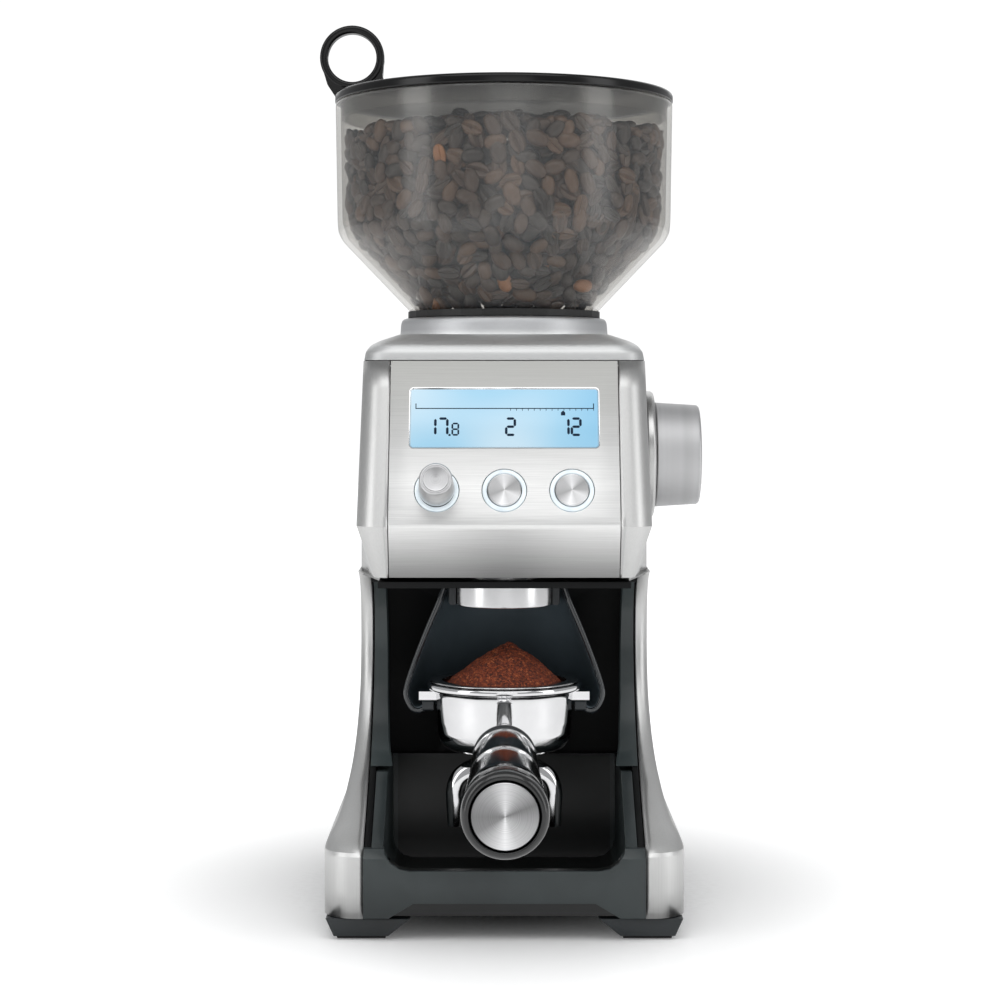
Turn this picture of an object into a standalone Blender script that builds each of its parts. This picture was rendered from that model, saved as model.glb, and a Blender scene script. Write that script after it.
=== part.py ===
"""Burr coffee grinder with a bean hopper, a tilted control panel and a portafilter in its cradle.

Metres, +Z up, front towards -Y. Pieces are placed in the machine's own frame: x = 0 is its middle plane,
y = 0 is the axis of hopper and burrs, z = 0 is the table. The machine empty then moves all of it along Y, so
that the world's origin is under the middle of the whole.
"""

import math

import bmesh
import bpy
from mathutils import Matrix, Vector

MM = 0.001
GAP = 0.3 * MM  # between two pieces that touch

# Housing
SHEET = 1.8 * MM  # thickness of the metal side panels
SEAM_X = 48.15 * MM  # where a side panel meets the front panel and the back cover
EDGE_X = 57.6 * MM  # where a side panel ends beside the open cavity
BASE_HALF_WIDTH = 74.2 * MM
COLUMN_HALF_WIDTH = 63.2 * MM
DECK_HALF_WIDTH = 60.0 * MM
BASE_FRONT = 103 * MM
BASE_BACK = 103 * MM
PANEL_BOTTOM = 9 * MM
CHIN_Z = 146.2 * MM
CREASE_Z = 167.8 * MM
DECK_Z = 236.6 * MM
CHIN_FRONT = 84 * MM
CREASE_FRONT = 93 * MM
DECK_FRONT = 68 * MM
DECK_BACK = 90 * MM
COLLAR_RADIUS = 46.4 * MM
COLLAR_TOP = 256.5 * MM
THROAT_RADIUS = 40.3 * MM
THROAT_BOTTOM = 206 * MM

# Cavity, outlet and portafilter
OUTLET_Y = -50 * MM
OUTLET_RADIUS = 20.7 * MM
OUTLET_BOTTOM = 132 * MM
LINER_HALF_WIDTH = 57.2 * MM
LINER_WALL = 2.6 * MM
LINER_BACK = -5.3 * MM
LINER_TOP = 144.4 * MM
RIM_RADIUS = 33.3 * MM
RIM_TOP = 99.2 * MM
BOWL_BOTTOM = 70.5 * MM
HANDLE_END = 235 * MM  # how far the handle reaches in front of the burr axis
HANDLE_RADIUS = 15.9 * MM
HANDLE_DROP = math.radians(1.85)
NECK_Z = 79.2 * MM
NECK_Y = OUTLET_Y - RIM_RADIUS + 3.3 * MM  # just inside the bowl's wall

# Hopper and lid
HOPPER_RADIUS = 75.8 * MM
HOPPER_WALL = 2.2 * MM
HOPPER_TOP = 353 * MM
CONE_TOP = 296.7 * MM
CONE_BOTTOM = 257.7 * MM
NECK_RADIUS = 39.8 * MM
NECK_BOTTOM = 236 * MM
LID_THICKNESS = 4.1 * MM
LOOP_RADIUS = 14.5 * MM
LOOP_HOLE = 10.9 * MM
LOOP_WIDTH = 7 * MM

# Controls, measured along the tilted panel upwards from the crease
CONTROL_UP = 15.8 * MM
CONTROL_SPACING = 28 * MM
RING_RADIUS = 9.1 * MM
RING_HOLE = 7.3 * MM
BUTTON_RADIUS = 7.0 * MM
KNOB_RADIUS = 7.5 * MM
KNOB_HEIGHT = 14 * MM
DISPLAY_UP = 47.65 * MM
DISPLAY_WIDTH = 79 * MM
DISPLAY_HEIGHT = 26.5 * MM

# Grind size dial
DIAL_Z = 195.4 * MM
DIAL_RADIUS = 23.5 * MM
DIAL_LENGTH = 19.9 * MM
DIAL_START = 67.6 * MM
ESCUTCHEON_RADIUS = 28.5 * MM
SHAFT_RADIUS = 3 * MM

# Burrs and drive
DRIVE_MODULE = 1.5 * MM
DRIVE_TEETH = 48
PINION_TEETH = 12
DIAL_MODULE = 1.25 * MM
CROWN_TEETH = 76
CROWN_SECTOR = 19  # the teeth that the dial can reach
BURR_SHAFT_RADIUS = 4 * MM
HOUSING_RADIUS = 44 * MM
HOUSING_FLOOR = 163 * MM
HOUSING_TOP = 178 * MM
CARRIER_RADIUS = 35.6 * MM
MOTOR_RADIUS = 26 * MM
MOTOR_BOTTOM = 62 * MM

# Tray
TRAY_HALF_WIDTH = LINER_HALF_WIDTH - LINER_WALL - GAP
TRAY_WALL = 4.8 * MM
TRAY_BOTTOM = 12.6 * MM
TRAY_TOP = 62 * MM
FASCIA_FRONT = 106.5 * MM
FASCIA_BACK = 99.8 * MM
FASCIA_BOTTOM = 9.9 * MM
LIP_Z = 28.9 * MM

GLAND_X = 35 * MM
GLAND_Z = 30 * MM
GLAND_END = 108 * MM
SWITCH_Z = 117 * MM

MACHINE_Y = (HANDLE_END - GLAND_END) / 2
MOTOR_Y = DRIVE_MODULE * (DRIVE_TEETH + PINION_TEETH) / 2
CROWN_RADIUS = DIAL_MODULE * CROWN_TEETH / 2
DIAL_PINION_RADIUS = DIAL_MODULE * PINION_TEETH / 2
PANEL_TILT = math.atan2(CREASE_FRONT - DECK_FRONT, DECK_Z - CREASE_Z)

# The housing's outline by height: (height, value)
BASE_FLARE = COLUMN_HALF_WIDTH + 0.1 * MM
SIDE_HALF_WIDTH = [
    (PANEL_BOTTOM, BASE_HALF_WIDTH),
    (35 * MM, BASE_HALF_WIDTH),
    (39 * MM, BASE_HALF_WIDTH - 1.2 * MM),
    (44 * MM, BASE_HALF_WIDTH - 4 * MM),
    (53 * MM, COLUMN_HALF_WIDTH + 4.1 * MM),
    (59 * MM, COLUMN_HALF_WIDTH + 2.8 * MM),
    (66 * MM, COLUMN_HALF_WIDTH + 1.7 * MM),
    (78 * MM, COLUMN_HALF_WIDTH + 0.7 * MM),
    (95 * MM, BASE_FLARE),
    (CREASE_Z, COLUMN_HALF_WIDTH),
    (DECK_Z, DECK_HALF_WIDTH + 1.5 * MM),
]
EDGE_FRONT = [
    (PANEL_BOTTOM, -BASE_FRONT),
    (34 * MM, -BASE_FRONT),
    (37 * MM, 3 * MM - BASE_FRONT),
    (42 * MM, 11 * MM - BASE_FRONT),
    (48 * MM, 21 * MM - BASE_FRONT),
    (56 * MM, 34 * MM - BASE_FRONT),
    (66 * MM, -55 * MM),
    (80 * MM, -40 * MM),
    (95 * MM, -30 * MM),
    (113 * MM, -24.5 * MM),
    (128 * MM, -25.5 * MM),
    (138 * MM, -31 * MM),
    (143 * MM, -38 * MM),
    (CHIN_Z, -47 * MM),
]
EDGE_ROUND = [(PANEL_BOTTOM, 15 * MM), (34 * MM, 15 * MM), (44 * MM, 10 * MM), (58 * MM, 5 * MM), (DECK_Z, 5 * MM)]
HEAD_FRONT = [(CHIN_Z, -CHIN_FRONT), (CREASE_Z, -CREASE_FRONT), (DECK_Z, -DECK_FRONT)]
HEAD_HALF_WIDTH = [(CHIN_Z, SEAM_X + 6.3 * MM), (CREASE_Z, DECK_HALF_WIDTH + 1.5 * MM), (DECK_Z, DECK_HALF_WIDTH)]
HEAD_ROUND = [(CHIN_Z, 5.5 * MM), (CREASE_Z, 11 * MM), (DECK_Z, 11 * MM)]
BACK = [
    (PANEL_BOTTOM, BASE_BACK),
    (38 * MM, BASE_BACK),
    (48 * MM, BASE_BACK - 4 * MM),
    (60 * MM, BASE_BACK - 7 * MM),
    (90 * MM, DECK_BACK + 3.5 * MM),
    (DECK_Z, DECK_BACK),
]
BLEND_Y = -18 * MM  # the head's sides reach their full width here
BACK_ROUND = 12 * MM


# Helpers


def at_height(table, height):
    """The value of a (height, value) table, straight between its rows."""
    for (low, first), (high, second) in zip(table, table[1:]):
        if height <= high:
            share = min(max((height - low) / (high - low), 0), 1)
            return first + (second - first) * share
    return table[-1][1]


def make_collection(name):
    found = bpy.data.collections.new(name)
    bpy.context.scene.collection.children.link(found)
    return found


for old in list(bpy.data.objects):
    bpy.data.objects.remove(old)
PARTS = make_collection("burr_coffee_grinder")
CUTTERS = make_collection("cutters")
machine = bpy.data.objects.new("machine", None)
machine.location = (0, MACHINE_Y, 0)
PARTS.objects.link(machine)


def paint(name, colour, roughness, metallic=0.0):
    """A plain Principled material."""
    material = bpy.data.materials.new(name)
    material.use_nodes = True
    shader = material.node_tree.nodes["Principled BSDF"]
    shader.inputs["Base Color"].default_value = (*colour, 1)
    shader.inputs["Roughness"].default_value = roughness
    shader.inputs["Metallic"].default_value = metallic
    return material


BRUSHED = (0.62, 0.62, 0.61)
BLACK = (0.02, 0.02, 0.022)
CHARCOAL = (0.05, 0.06, 0.062)
STEEL = (0.55, 0.56, 0.57)


def place(name, mesh, look, location=(0, 0, 0), rotation=(0, 0, 0), parent=None):
    """Puts a mesh in the machine as a named piece with its own material; look is (colour, roughness, metallic)."""
    mesh.name = name
    piece = bpy.data.objects.new(name, mesh)
    PARTS.objects.link(piece)
    piece.parent = parent or machine
    piece.location = location
    piece.rotation_euler = rotation
    mesh.materials.clear()
    mesh.materials.append(paint(name, *look))
    mesh.shade_smooth()
    mesh.set_sharp_from_angle(angle=math.radians(35))
    return piece


def cutter(mesh, location=(0, 0, 0), rotation=(0, 0, 0), parent=None):
    """A hidden object that a Boolean uses."""
    tool = bpy.data.objects.new(mesh.name, mesh)
    CUTTERS.objects.link(tool)
    tool.parent = parent or machine
    tool.location = location
    tool.rotation_euler = rotation
    tool.hide_render = True
    tool.display_type = "WIRE"
    return tool


def combine(piece, tool, operation):
    boolean = piece.modifiers.new(operation.lower(), "BOOLEAN")
    boolean.object = tool
    boolean.operation = operation
    boolean.solver = "EXACT"


def cut(piece, *tools):
    for tool in tools:
        combine(piece, tool, "DIFFERENCE")


def join(piece, *tools):
    for tool in tools:
        combine(piece, tool, "UNION")


def finished(bm, name="shape"):
    mesh = bpy.data.meshes.new(name)
    bm.to_mesh(mesh)
    bm.free()
    return mesh


def block(low, high, bevel=0.0):
    """A box between two corners, with its edges rounded."""
    bm = bmesh.new()
    bmesh.ops.create_cube(bm, size=1)
    low, high = Vector(low), Vector(high)
    bmesh.ops.scale(bm, vec=high - low, verts=bm.verts)
    bmesh.ops.translate(bm, vec=(low + high) / 2, verts=bm.verts)
    if bevel:
        bmesh.ops.bevel(bm, geom=bm.edges[:], offset=bevel, segments=2, profile=0.5, affect="EDGES")
    return finished(bm, "block")


def rod(radius, low, high, steps=24, tip=None):
    """A cylinder, or a cone frustum where tip gives its top radius, along Z."""
    bm = bmesh.new()
    bmesh.ops.create_cone(
        bm, cap_ends=True, segments=steps, radius1=radius, radius2=tip or radius, depth=high - low
    )
    bmesh.ops.translate(bm, vec=(0, 0, (low + high) / 2), verts=bm.verts)
    return finished(bm, "rod")


def evaluated_mesh(source):
    """The object's mesh after its modifiers, with loose caps welded; the object goes."""
    bpy.context.view_layer.update()
    graph = bpy.context.evaluated_depsgraph_get()
    mesh = bpy.data.meshes.new_from_object(source.evaluated_get(graph))
    bpy.data.objects.remove(source)
    bm = bmesh.new()
    bm.from_mesh(mesh)
    bmesh.ops.remove_doubles(bm, verts=bm.verts, dist=0.002 * MM)
    bmesh.ops.recalc_face_normals(bm, faces=bm.faces)
    bm.to_mesh(mesh)
    bm.free()
    return mesh


AXES = {
    "XY": Matrix.Identity(3),
    "YZ": Matrix(((0, 0, 1), (1, 0, 0), (0, 1, 0))),
    "XZ": Matrix(((1, 0, 0), (0, 0, -1), (0, 1, 0))),
}


def prism(outline, low, high, plane="XY"):
    """A flat outline given thickness from low to high across its plane."""
    curve = bpy.data.curves.new("outline", "CURVE")
    curve.dimensions = "2D"
    curve.fill_mode = "BOTH"
    curve.extrude = (high - low) / 2
    spline = curve.splines.new("POLY")
    spline.points.add(len(outline) - 1)
    for point, (across, up) in zip(spline.points, outline):
        point.co = (across, up, 0, 1)
    spline.use_cyclic_u = True
    source = bpy.data.objects.new("outline", curve)
    CUTTERS.objects.link(source)
    mesh = evaluated_mesh(source)
    middle = (low + high) / 2
    turn = AXES[plane].to_4x4() @ Matrix.Translation((0, 0, -middle if plane == "XZ" else middle))
    mesh.transform(turn)
    return mesh


def turned(profile, steps=32, closed=True, angle=360, wall=0.0):
    """A profile of (radius, height) points turned about Z; the outer side runs from top to bottom."""
    bm = bmesh.new()
    points = [bm.verts.new((radius, 0, height)) for radius, height in profile]
    for first, second in zip(points, points[1:]):
        bm.edges.new((first, second))
    if closed:
        bm.edges.new((points[-1], points[0]))
    source = bpy.data.objects.new("turned", finished(bm, "turned"))
    CUTTERS.objects.link(source)
    screw = source.modifiers.new("turn", "SCREW")
    screw.angle = math.radians(angle)
    screw.steps = screw.render_steps = steps
    screw.use_merge_vertices = True
    screw.merge_threshold = 0.01 * MM
    if wall:
        solid = source.modifiers.new("wall", "SOLIDIFY")
        solid.thickness = wall
        solid.offset = 0
        solid.use_even_offset = True
    return evaluated_mesh(source)


def loft(rows, closed=False):
    """Faces between rows of points; closed rows get end caps and make a solid."""
    bm = bmesh.new()
    rings = [[bm.verts.new(point) for point in row] for row in rows]
    count = len(rings[0])
    for lower, upper in zip(rings, rings[1:]):
        for i in range(count if closed else count - 1):
            j = (i + 1) % count
            bm.faces.new((lower[i], lower[j], upper[j], upper[i]))
    if closed:
        bm.faces.new(rings[0][::-1])
        bm.faces.new(rings[-1])
        bmesh.ops.recalc_face_normals(bm, faces=bm.faces)
    return finished(bm, "loft")


def arc(centre, radius, start, end, steps):
    """Points on an arc, its angles in degrees."""
    angles = [math.radians(start + (end - start) * i / steps) for i in range(steps + 1)]
    return [(centre[0] + radius * math.cos(a), centre[1] + radius * math.sin(a)) for a in angles]


def rounded_box(half_width, low, high, radius, steps=4):
    """A flat outline, symmetric in x, with round corners."""
    right, left = half_width - radius, radius - half_width
    return (
        arc((right, low + radius), radius, -90, 0, steps)
        + arc((right, high - radius), radius, 0, 90, steps)
        + arc((left, high - radius), radius, 90, 180, steps)
        + arc((left, low + radius), radius, 180, 270, steps)
    )


def gear_outline(teeth, module, addendum=0.75, dedendum=1.1, backlash=0.16 * MM, phase=0.0):
    """An involute spur gear's outline with stub teeth of 20 degrees pressure angle."""
    pitch = module * teeth / 2
    base = pitch * math.cos(math.radians(20))
    tip, root = pitch + addendum * module, pitch - dedendum * module
    spread = math.tan(math.radians(20)) - math.radians(20)
    half = math.pi / (2 * teeth) - backlash / (2 * pitch) + spread

    def flank(radius):
        """The tooth's half angle at a radius."""
        if radius <= base:
            return half
        press = math.acos(base / radius)
        return half - (math.tan(press) - press)

    radii = [root, (max(base, root) * 2 + tip) / 3, tip]
    outline = []
    for tooth in range(teeth):
        middle = 2 * math.pi * tooth / teeth + phase
        sides = [(r, middle - flank(r)) for r in radii] + [(r, middle + flank(r)) for r in radii[::-1]]
        outline += [(r * math.cos(a), r * math.sin(a)) for r, a in sides]
    return outline


def holder(name, location, rotation=(0, 0, 0)):
    empty = bpy.data.objects.new(name, None)
    PARTS.objects.link(empty)
    empty.parent = machine
    empty.location = location
    empty.rotation_euler = rotation
    return empty


# The tilted panel's own frame: x across, y up along the panel, z out of it
panel_frame = holder("panel_frame", (0, -CREASE_FRONT, CREASE_Z), (math.radians(90) - PANEL_TILT, 0, 0))
# Sideways frame of the dial: its local +Z points along the machine's +X
dial_frame = holder("dial_frame", (0, 0, DIAL_Z), (0, math.radians(90), 0))
# Handle frame: its local +Z points forwards, away from the bowl
handle_frame = holder("handle_frame", (0, NECK_Y, NECK_Z), (math.radians(90) + HANDLE_DROP, 0, 0))


# Base


def build_base():
    """The base plate with its four corner feet, and a rubber pad under each."""
    plate = place(
        "base_plate",
        prism(
            rounded_box(BASE_HALF_WIDTH - SHEET - 0.6 * MM, 7 * MM - BASE_FRONT, BASE_BACK - 2.5 * MM, 14 * MM),
            PANEL_BOTTOM + GAP,
            TRAY_BOTTOM - GAP,
        ),
        (CHARCOAL, 0.5),
    )
    outer = BASE_HALF_WIDTH - 1.2 * MM
    corners = {"front": (-BASE_FRONT + 2 * MM, 27 * MM), "rear": (BASE_BACK - 29 * MM, 27 * MM)}
    for end, (start, depth) in corners.items():
        for side, sign in (("left", -1), ("right", 1)):
            outline = [
                (sign * outer, PANEL_BOTTOM - GAP),
                (sign * (outer - 3.3 * MM), 1.5 * MM),
                (sign * (outer - 25.7 * MM), 1.5 * MM),
                (sign * (outer - 34.7 * MM), PANEL_BOTTOM - GAP),
            ]
            join(plate, cutter(prism(outline, start, start + depth, "XZ")))
            inner, far = outer - 30 * MM, outer - 4 * MM
            low_x, high_x = sorted((sign * inner, sign * far))
            link_low = (low_x, start + 7.5 * MM, PANEL_BOTTOM - 2 * MM)
            link_high = (high_x, start + depth - 7.5 * MM, PANEL_BOTTOM + 2 * MM)
            join(plate, cutter(block(link_low, link_high)))
            pad_low, pad_high = sorted((sign * (outer - 24.5 * MM), sign * (outer - 4.5 * MM)))
            place(
                f"foot_pad_{end}_{side}",
                block(
                    (pad_low, start + 3 * MM, 0), (pad_high, start + depth - 3 * MM, 1.5 * MM - GAP), 0.4 * MM
                ),
                (BLACK, 0.8),
            )


# Housing


def panel_row(z, head):
    """One level of the right side panel: seam, front corner, side, back corner, back seam."""
    table_front, table_width, table_round, seam = (
        (HEAD_FRONT, HEAD_HALF_WIDTH, HEAD_ROUND, SEAM_X)
        if head
        else (EDGE_FRONT, SIDE_HALF_WIDTH, EDGE_ROUND, EDGE_X)
    )
    front = at_height(table_front, z)
    width = at_height(table_width, z)
    full = at_height(SIDE_HALF_WIDTH, z)
    radius = at_height(table_round, z)
    back = at_height(BACK, z)
    row = [(seam, front)]
    row += arc((width - radius, front + radius), radius, -90, 0, 5)
    row += [(full, max(BLEND_Y, front + radius + 0.5 * MM)), (full, 30 * MM)]
    row += arc((full - BACK_ROUND, back - BACK_ROUND), BACK_ROUND, 0, 90, 4)
    row += [(SEAM_X, back)]
    return [(x, y, z) for x, y in row]


BASE_LEVELS = [9, 34, 37, 40, 44, 48, 53, 59, 66, 73, 80, 95, 113, 128, 138, 143]
HEAD_LEVELS = [151, 157, 162, CREASE_Z / MM, 190, 213]


def build_side_panels():
    rows = [panel_row(level * MM, False) for level in BASE_LEVELS]
    rows.append(panel_row(CHIN_Z - GAP, False))
    rows.append(panel_row(CHIN_Z, True))
    rows += [panel_row(level * MM, True) for level in HEAD_LEVELS]
    rows.append(panel_row(DECK_Z, True))
    for name, side in (("side_panel_right", 1), ("side_panel_left", -1)):
        mirrored = [[(side * x, y, z) for x, y, z in row] for row in rows]
        mesh = loft(mirrored)
        if side < 0:
            mesh.flip_normals()
        panel = place(name, mesh, (BRUSHED, 0.35, 1.0))
        solid = panel.modifiers.new("sheet", "SOLIDIFY")
        solid.thickness = SHEET
        solid.offset = -1
        solid.use_even_offset = True
        if side > 0:
            length = BASE_HALF_WIDTH + 20 * MM
            cut(panel, cutter(rod(SHAFT_RADIUS + 0.6 * MM, 20 * MM, length), parent=dial_frame))


def outline_at(z, inset):
    """The head's whole outline at a height, moved inwards."""
    right = [(x, y) for x, y, _ in panel_row(z, True)]
    middle = (DECK_BACK - DECK_FRONT) / 2
    width = at_height(SIDE_HALF_WIDTH, z)
    depth = (DECK_BACK + DECK_FRONT) / 2
    loop = right + [(-x, y) for x, y in right[::-1]]
    return [(x * (1 - inset / width), middle + (y - middle) * (1 - inset / depth)) for x, y in loop]


def build_top_cover():
    """The domed deck, hollow below, with the collar and throat that the hopper's neck drops into."""
    levels = [(0.3, 0.3), (3.9, 0.9), (6.7, 3), (8.6, 6.5), (10.2, 11), (11.6, 15)]
    rows = [[(x, y, DECK_Z + up * MM) for x, y in outline_at(DECK_Z, inset * MM)] for up, inset in levels]
    cover = place("top_cover", loft(rows, closed=True), (BRUSHED, 0.35, 1.0))
    hollow = [
        [(x, y, DECK_Z + up * MM) for x, y in outline_at(DECK_Z, inset * MM)]
        for up, inset in [(-5, 3), (3.2, 3.4), (7.6, 10)]
    ]
    cut(cover, cutter(loft(hollow, closed=True)))
    collar = [
        (COLLAR_RADIUS - 2 * MM, COLLAR_TOP),
        (COLLAR_RADIUS - 0.6 * MM, COLLAR_TOP - 0.7 * MM),
        (COLLAR_RADIUS, COLLAR_TOP - 2.5 * MM),
        (COLLAR_RADIUS + 0.6 * MM, DECK_Z + 10 * MM),
        (THROAT_RADIUS + 2.7 * MM, DECK_Z + 8 * MM),
        (THROAT_RADIUS + 2.7 * MM, THROAT_BOTTOM),
        (THROAT_RADIUS - 2 * MM, THROAT_BOTTOM),
        (THROAT_RADIUS - 2 * MM, COLLAR_TOP),
    ]
    join(cover, cutter(turned(collar, 32)))
    cut(cover, cutter(rod(THROAT_RADIUS, THROAT_BOTTOM - 5 * MM, COLLAR_TOP + 5 * MM, 32)))


def build_front_panel():
    """One folded sheet: the tilted control face and the chin below its crease."""
    sheet = 1.5 * MM
    outer = [(y, z) for z, y in HEAD_FRONT[::-1]]
    inner = [(y + sheet, z) for y, z in outer[::-1]]
    half = SEAM_X - GAP
    panel = place("front_panel", prism(outer + inner, -half, half, "YZ"), (BRUSHED, 0.32, 1.0))
    window = rounded_box(
        DISPLAY_WIDTH / 2, DISPLAY_UP - DISPLAY_HEIGHT / 2, DISPLAY_UP + DISPLAY_HEIGHT / 2, 1.6 * MM, 2
    )
    cut(panel, cutter(prism(window, -5 * MM, 5 * MM), parent=panel_frame))
    for side in (-1, 0, 1):
        hole = rod(RING_RADIUS + GAP, -5 * MM, 5 * MM)
        cut(panel, cutter(hole, (side * CONTROL_SPACING, CONTROL_UP, 0), parent=panel_frame))


def build_back_cover():
    outer = [(y, z) for z, y in BACK]
    inner = [(y - 2 * MM, z) for y, z in outer[::-1]]
    half = SEAM_X - GAP
    cover = place("back_cover", prism(outer + inner, -half, half, "YZ"), (BRUSHED, 0.35, 1.0))
    turn = (math.radians(-90), 0, 0)
    cut(cover, cutter(rod(6.3 * MM, 60 * MM, 130 * MM), (GLAND_X, 0, GLAND_Z), turn))
    wall = BASE_BACK - 2 * MM
    gland = [
        (5 * MM, GLAND_END),
        (8 * MM, BASE_BACK + 2 * MM),
        (8 * MM, BASE_BACK + GAP),
        (6 * MM, BASE_BACK + GAP),
        (6 * MM, wall - GAP),
        (8 * MM, wall - GAP),
        (8 * MM, wall - 4 * MM),
        (3.6 * MM, wall - 4 * MM),
        (3.6 * MM, GLAND_END),
    ]
    place("cord_gland", turned(gland, 14), (BLACK, 0.6), (GLAND_X, 0, GLAND_Z), turn)


def edge_profile(clear, top, bottom, back):
    """The C-shaped side outline in (y, z): along the panels' edge, then round the back."""
    heights = [z for z, _ in EDGE_FRONT if bottom < z < top]
    front = [(at_height(EDGE_FRONT, z) + clear, z) for z in [bottom, *heights, top]]
    return front + [(back, top), (back, bottom)]


def build_inner_frame():
    """The dark plastic liner of the cavity: two side walls, a back wall and a ceiling with the outlet's hole."""
    head_y = 1.8 * MM - CHIN_FRONT
    side = [
        (max(y, -FASCIA_BACK + 0.6 * MM), z)
        for y, z in edge_profile(1.0 * MM, LINER_TOP - 2.7 * MM, TRAY_BOTTOM, LINER_BACK + 3 * MM)
    ]
    side[-2:] = [(head_y, LINER_TOP - 2.7 * MM), (head_y, LINER_TOP), (LINER_BACK + 3 * MM, LINER_TOP), side[-1]]
    liner = place("inner_frame", prism(side, -LINER_HALF_WIDTH, LINER_HALF_WIDTH, "YZ"), (CHARCOAL, 0.45))
    inner = LINER_HALF_WIDTH - LINER_WALL
    cavity = block((-inner, -200 * MM, 0), (inner, LINER_BACK, LINER_TOP - 2.7 * MM))
    cut(liner, cutter(cavity))
    # The ceiling narrows where the head's corners do.
    for sign in (-1, 1):
        low_x, high_x = sorted((sign * (SEAM_X + 4.5 * MM), sign * (LINER_HALF_WIDTH + 9 * MM)))
        cut(liner, cutter(block((low_x, -120 * MM, LINER_TOP - 2.7 * MM - GAP), (high_x, -48 * MM, 150 * MM))))
    cut(liner, cutter(rod(OUTLET_RADIUS + GAP, 130 * MM, 160 * MM), (0, OUTLET_Y, 0)))
    turn = (math.radians(90), 0, 0)
    cut(liner, cutter(rod(3.3 * MM, -10 * MM, 20 * MM, 16), (0, 0, SWITCH_Z), turn))


# Controls


def build_controls():
    glass = rounded_box(
        DISPLAY_WIDTH / 2 - GAP,
        DISPLAY_UP - DISPLAY_HEIGHT / 2 + GAP,
        DISPLAY_UP + DISPLAY_HEIGHT / 2 - GAP,
        1.4 * MM,
        2,
    )
    place("display_window", prism(glass, -2 * MM, -0.5 * MM), ((0.6, 0.8, 0.95), 0.1), parent=panel_frame)
    half_width, half_height = DISPLAY_WIDTH / 2 + 2.5 * MM, DISPLAY_HEIGHT / 2 + 2.5 * MM
    low = (-half_width, DISPLAY_UP - half_height, -8 * MM)
    high = (half_width, DISPLAY_UP + half_height, -2 * MM - GAP)
    place("display_module", block(low, high), ((0.8, 0.85, 0.9), 0.5), parent=panel_frame)
    low, high = (-43 * MM, 4 * MM, -11.6 * MM), (43 * MM, 66 * MM, -10 * MM)
    place("control_board", block(low, high), ((0.02, 0.2, 0.08), 0.5), parent=panel_frame)

    ring = [
        (RING_RADIUS - 0.4 * MM, 0.4 * MM),
        (RING_RADIUS, 0.1 * MM),
        (RING_RADIUS, -1.6 * MM),
        (RING_HOLE, -1.6 * MM),
        (RING_HOLE, 0.4 * MM),
    ]
    for name, side in (("amount", -1), ("shots", 0), ("start", 1)):
        spot = (side * CONTROL_SPACING, CONTROL_UP, 0)
        place(f"{name}_light_ring", turned(ring, 20), ((0.85, 0.9, 0.95), 0.3), spot, parent=panel_frame)
    button = [
        (0, 1.0 * MM),
        (BUTTON_RADIUS - 0.5 * MM, 1.2 * MM),
        (BUTTON_RADIUS, 0.7 * MM),
        (BUTTON_RADIUS, -4 * MM),
        (2 * MM, -4 * MM),
        (2 * MM, -8 * MM),
        (0, -8 * MM),
    ]
    for name, side in (("shots", 0), ("start", 1)):
        spot = (side * CONTROL_SPACING, CONTROL_UP, 0)
        place(f"{name}_button", turned(button, 20, False), (STEEL, 0.25, 1.0), spot, parent=panel_frame)
    spot = (-CONTROL_SPACING, CONTROL_UP, 0)
    stem = [
        (0, 12 * MM),
        (SHAFT_RADIUS, 12 * MM),
        (SHAFT_RADIUS, -4 * MM),
        (5 * MM, -4 * MM),
        (5 * MM, -8 * MM),
        (0, -8 * MM),
    ]
    place("knob_stem", turned(stem, 12, False), (STEEL, 0.3, 1.0), spot, parent=panel_frame)
    bore = SHAFT_RADIUS + GAP
    top = 1.8 * MM + KNOB_HEIGHT
    knob = [
        (0, top - 0.5 * MM),
        (5.2 * MM, top - 0.5 * MM),
        (5.4 * MM, top),
        (KNOB_RADIUS - 1.2 * MM, top),
        (KNOB_RADIUS - 0.65 * MM, top - 0.6 * MM),
        (KNOB_RADIUS, 1.8 * MM),
        (bore, 1.8 * MM),
        (bore, 12 * MM + GAP),
        (0, 12 * MM + GAP),
    ]
    place("amount_knob", turned(knob, 20, False), (STEEL, 0.25, 1.0), spot, parent=panel_frame)


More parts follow.
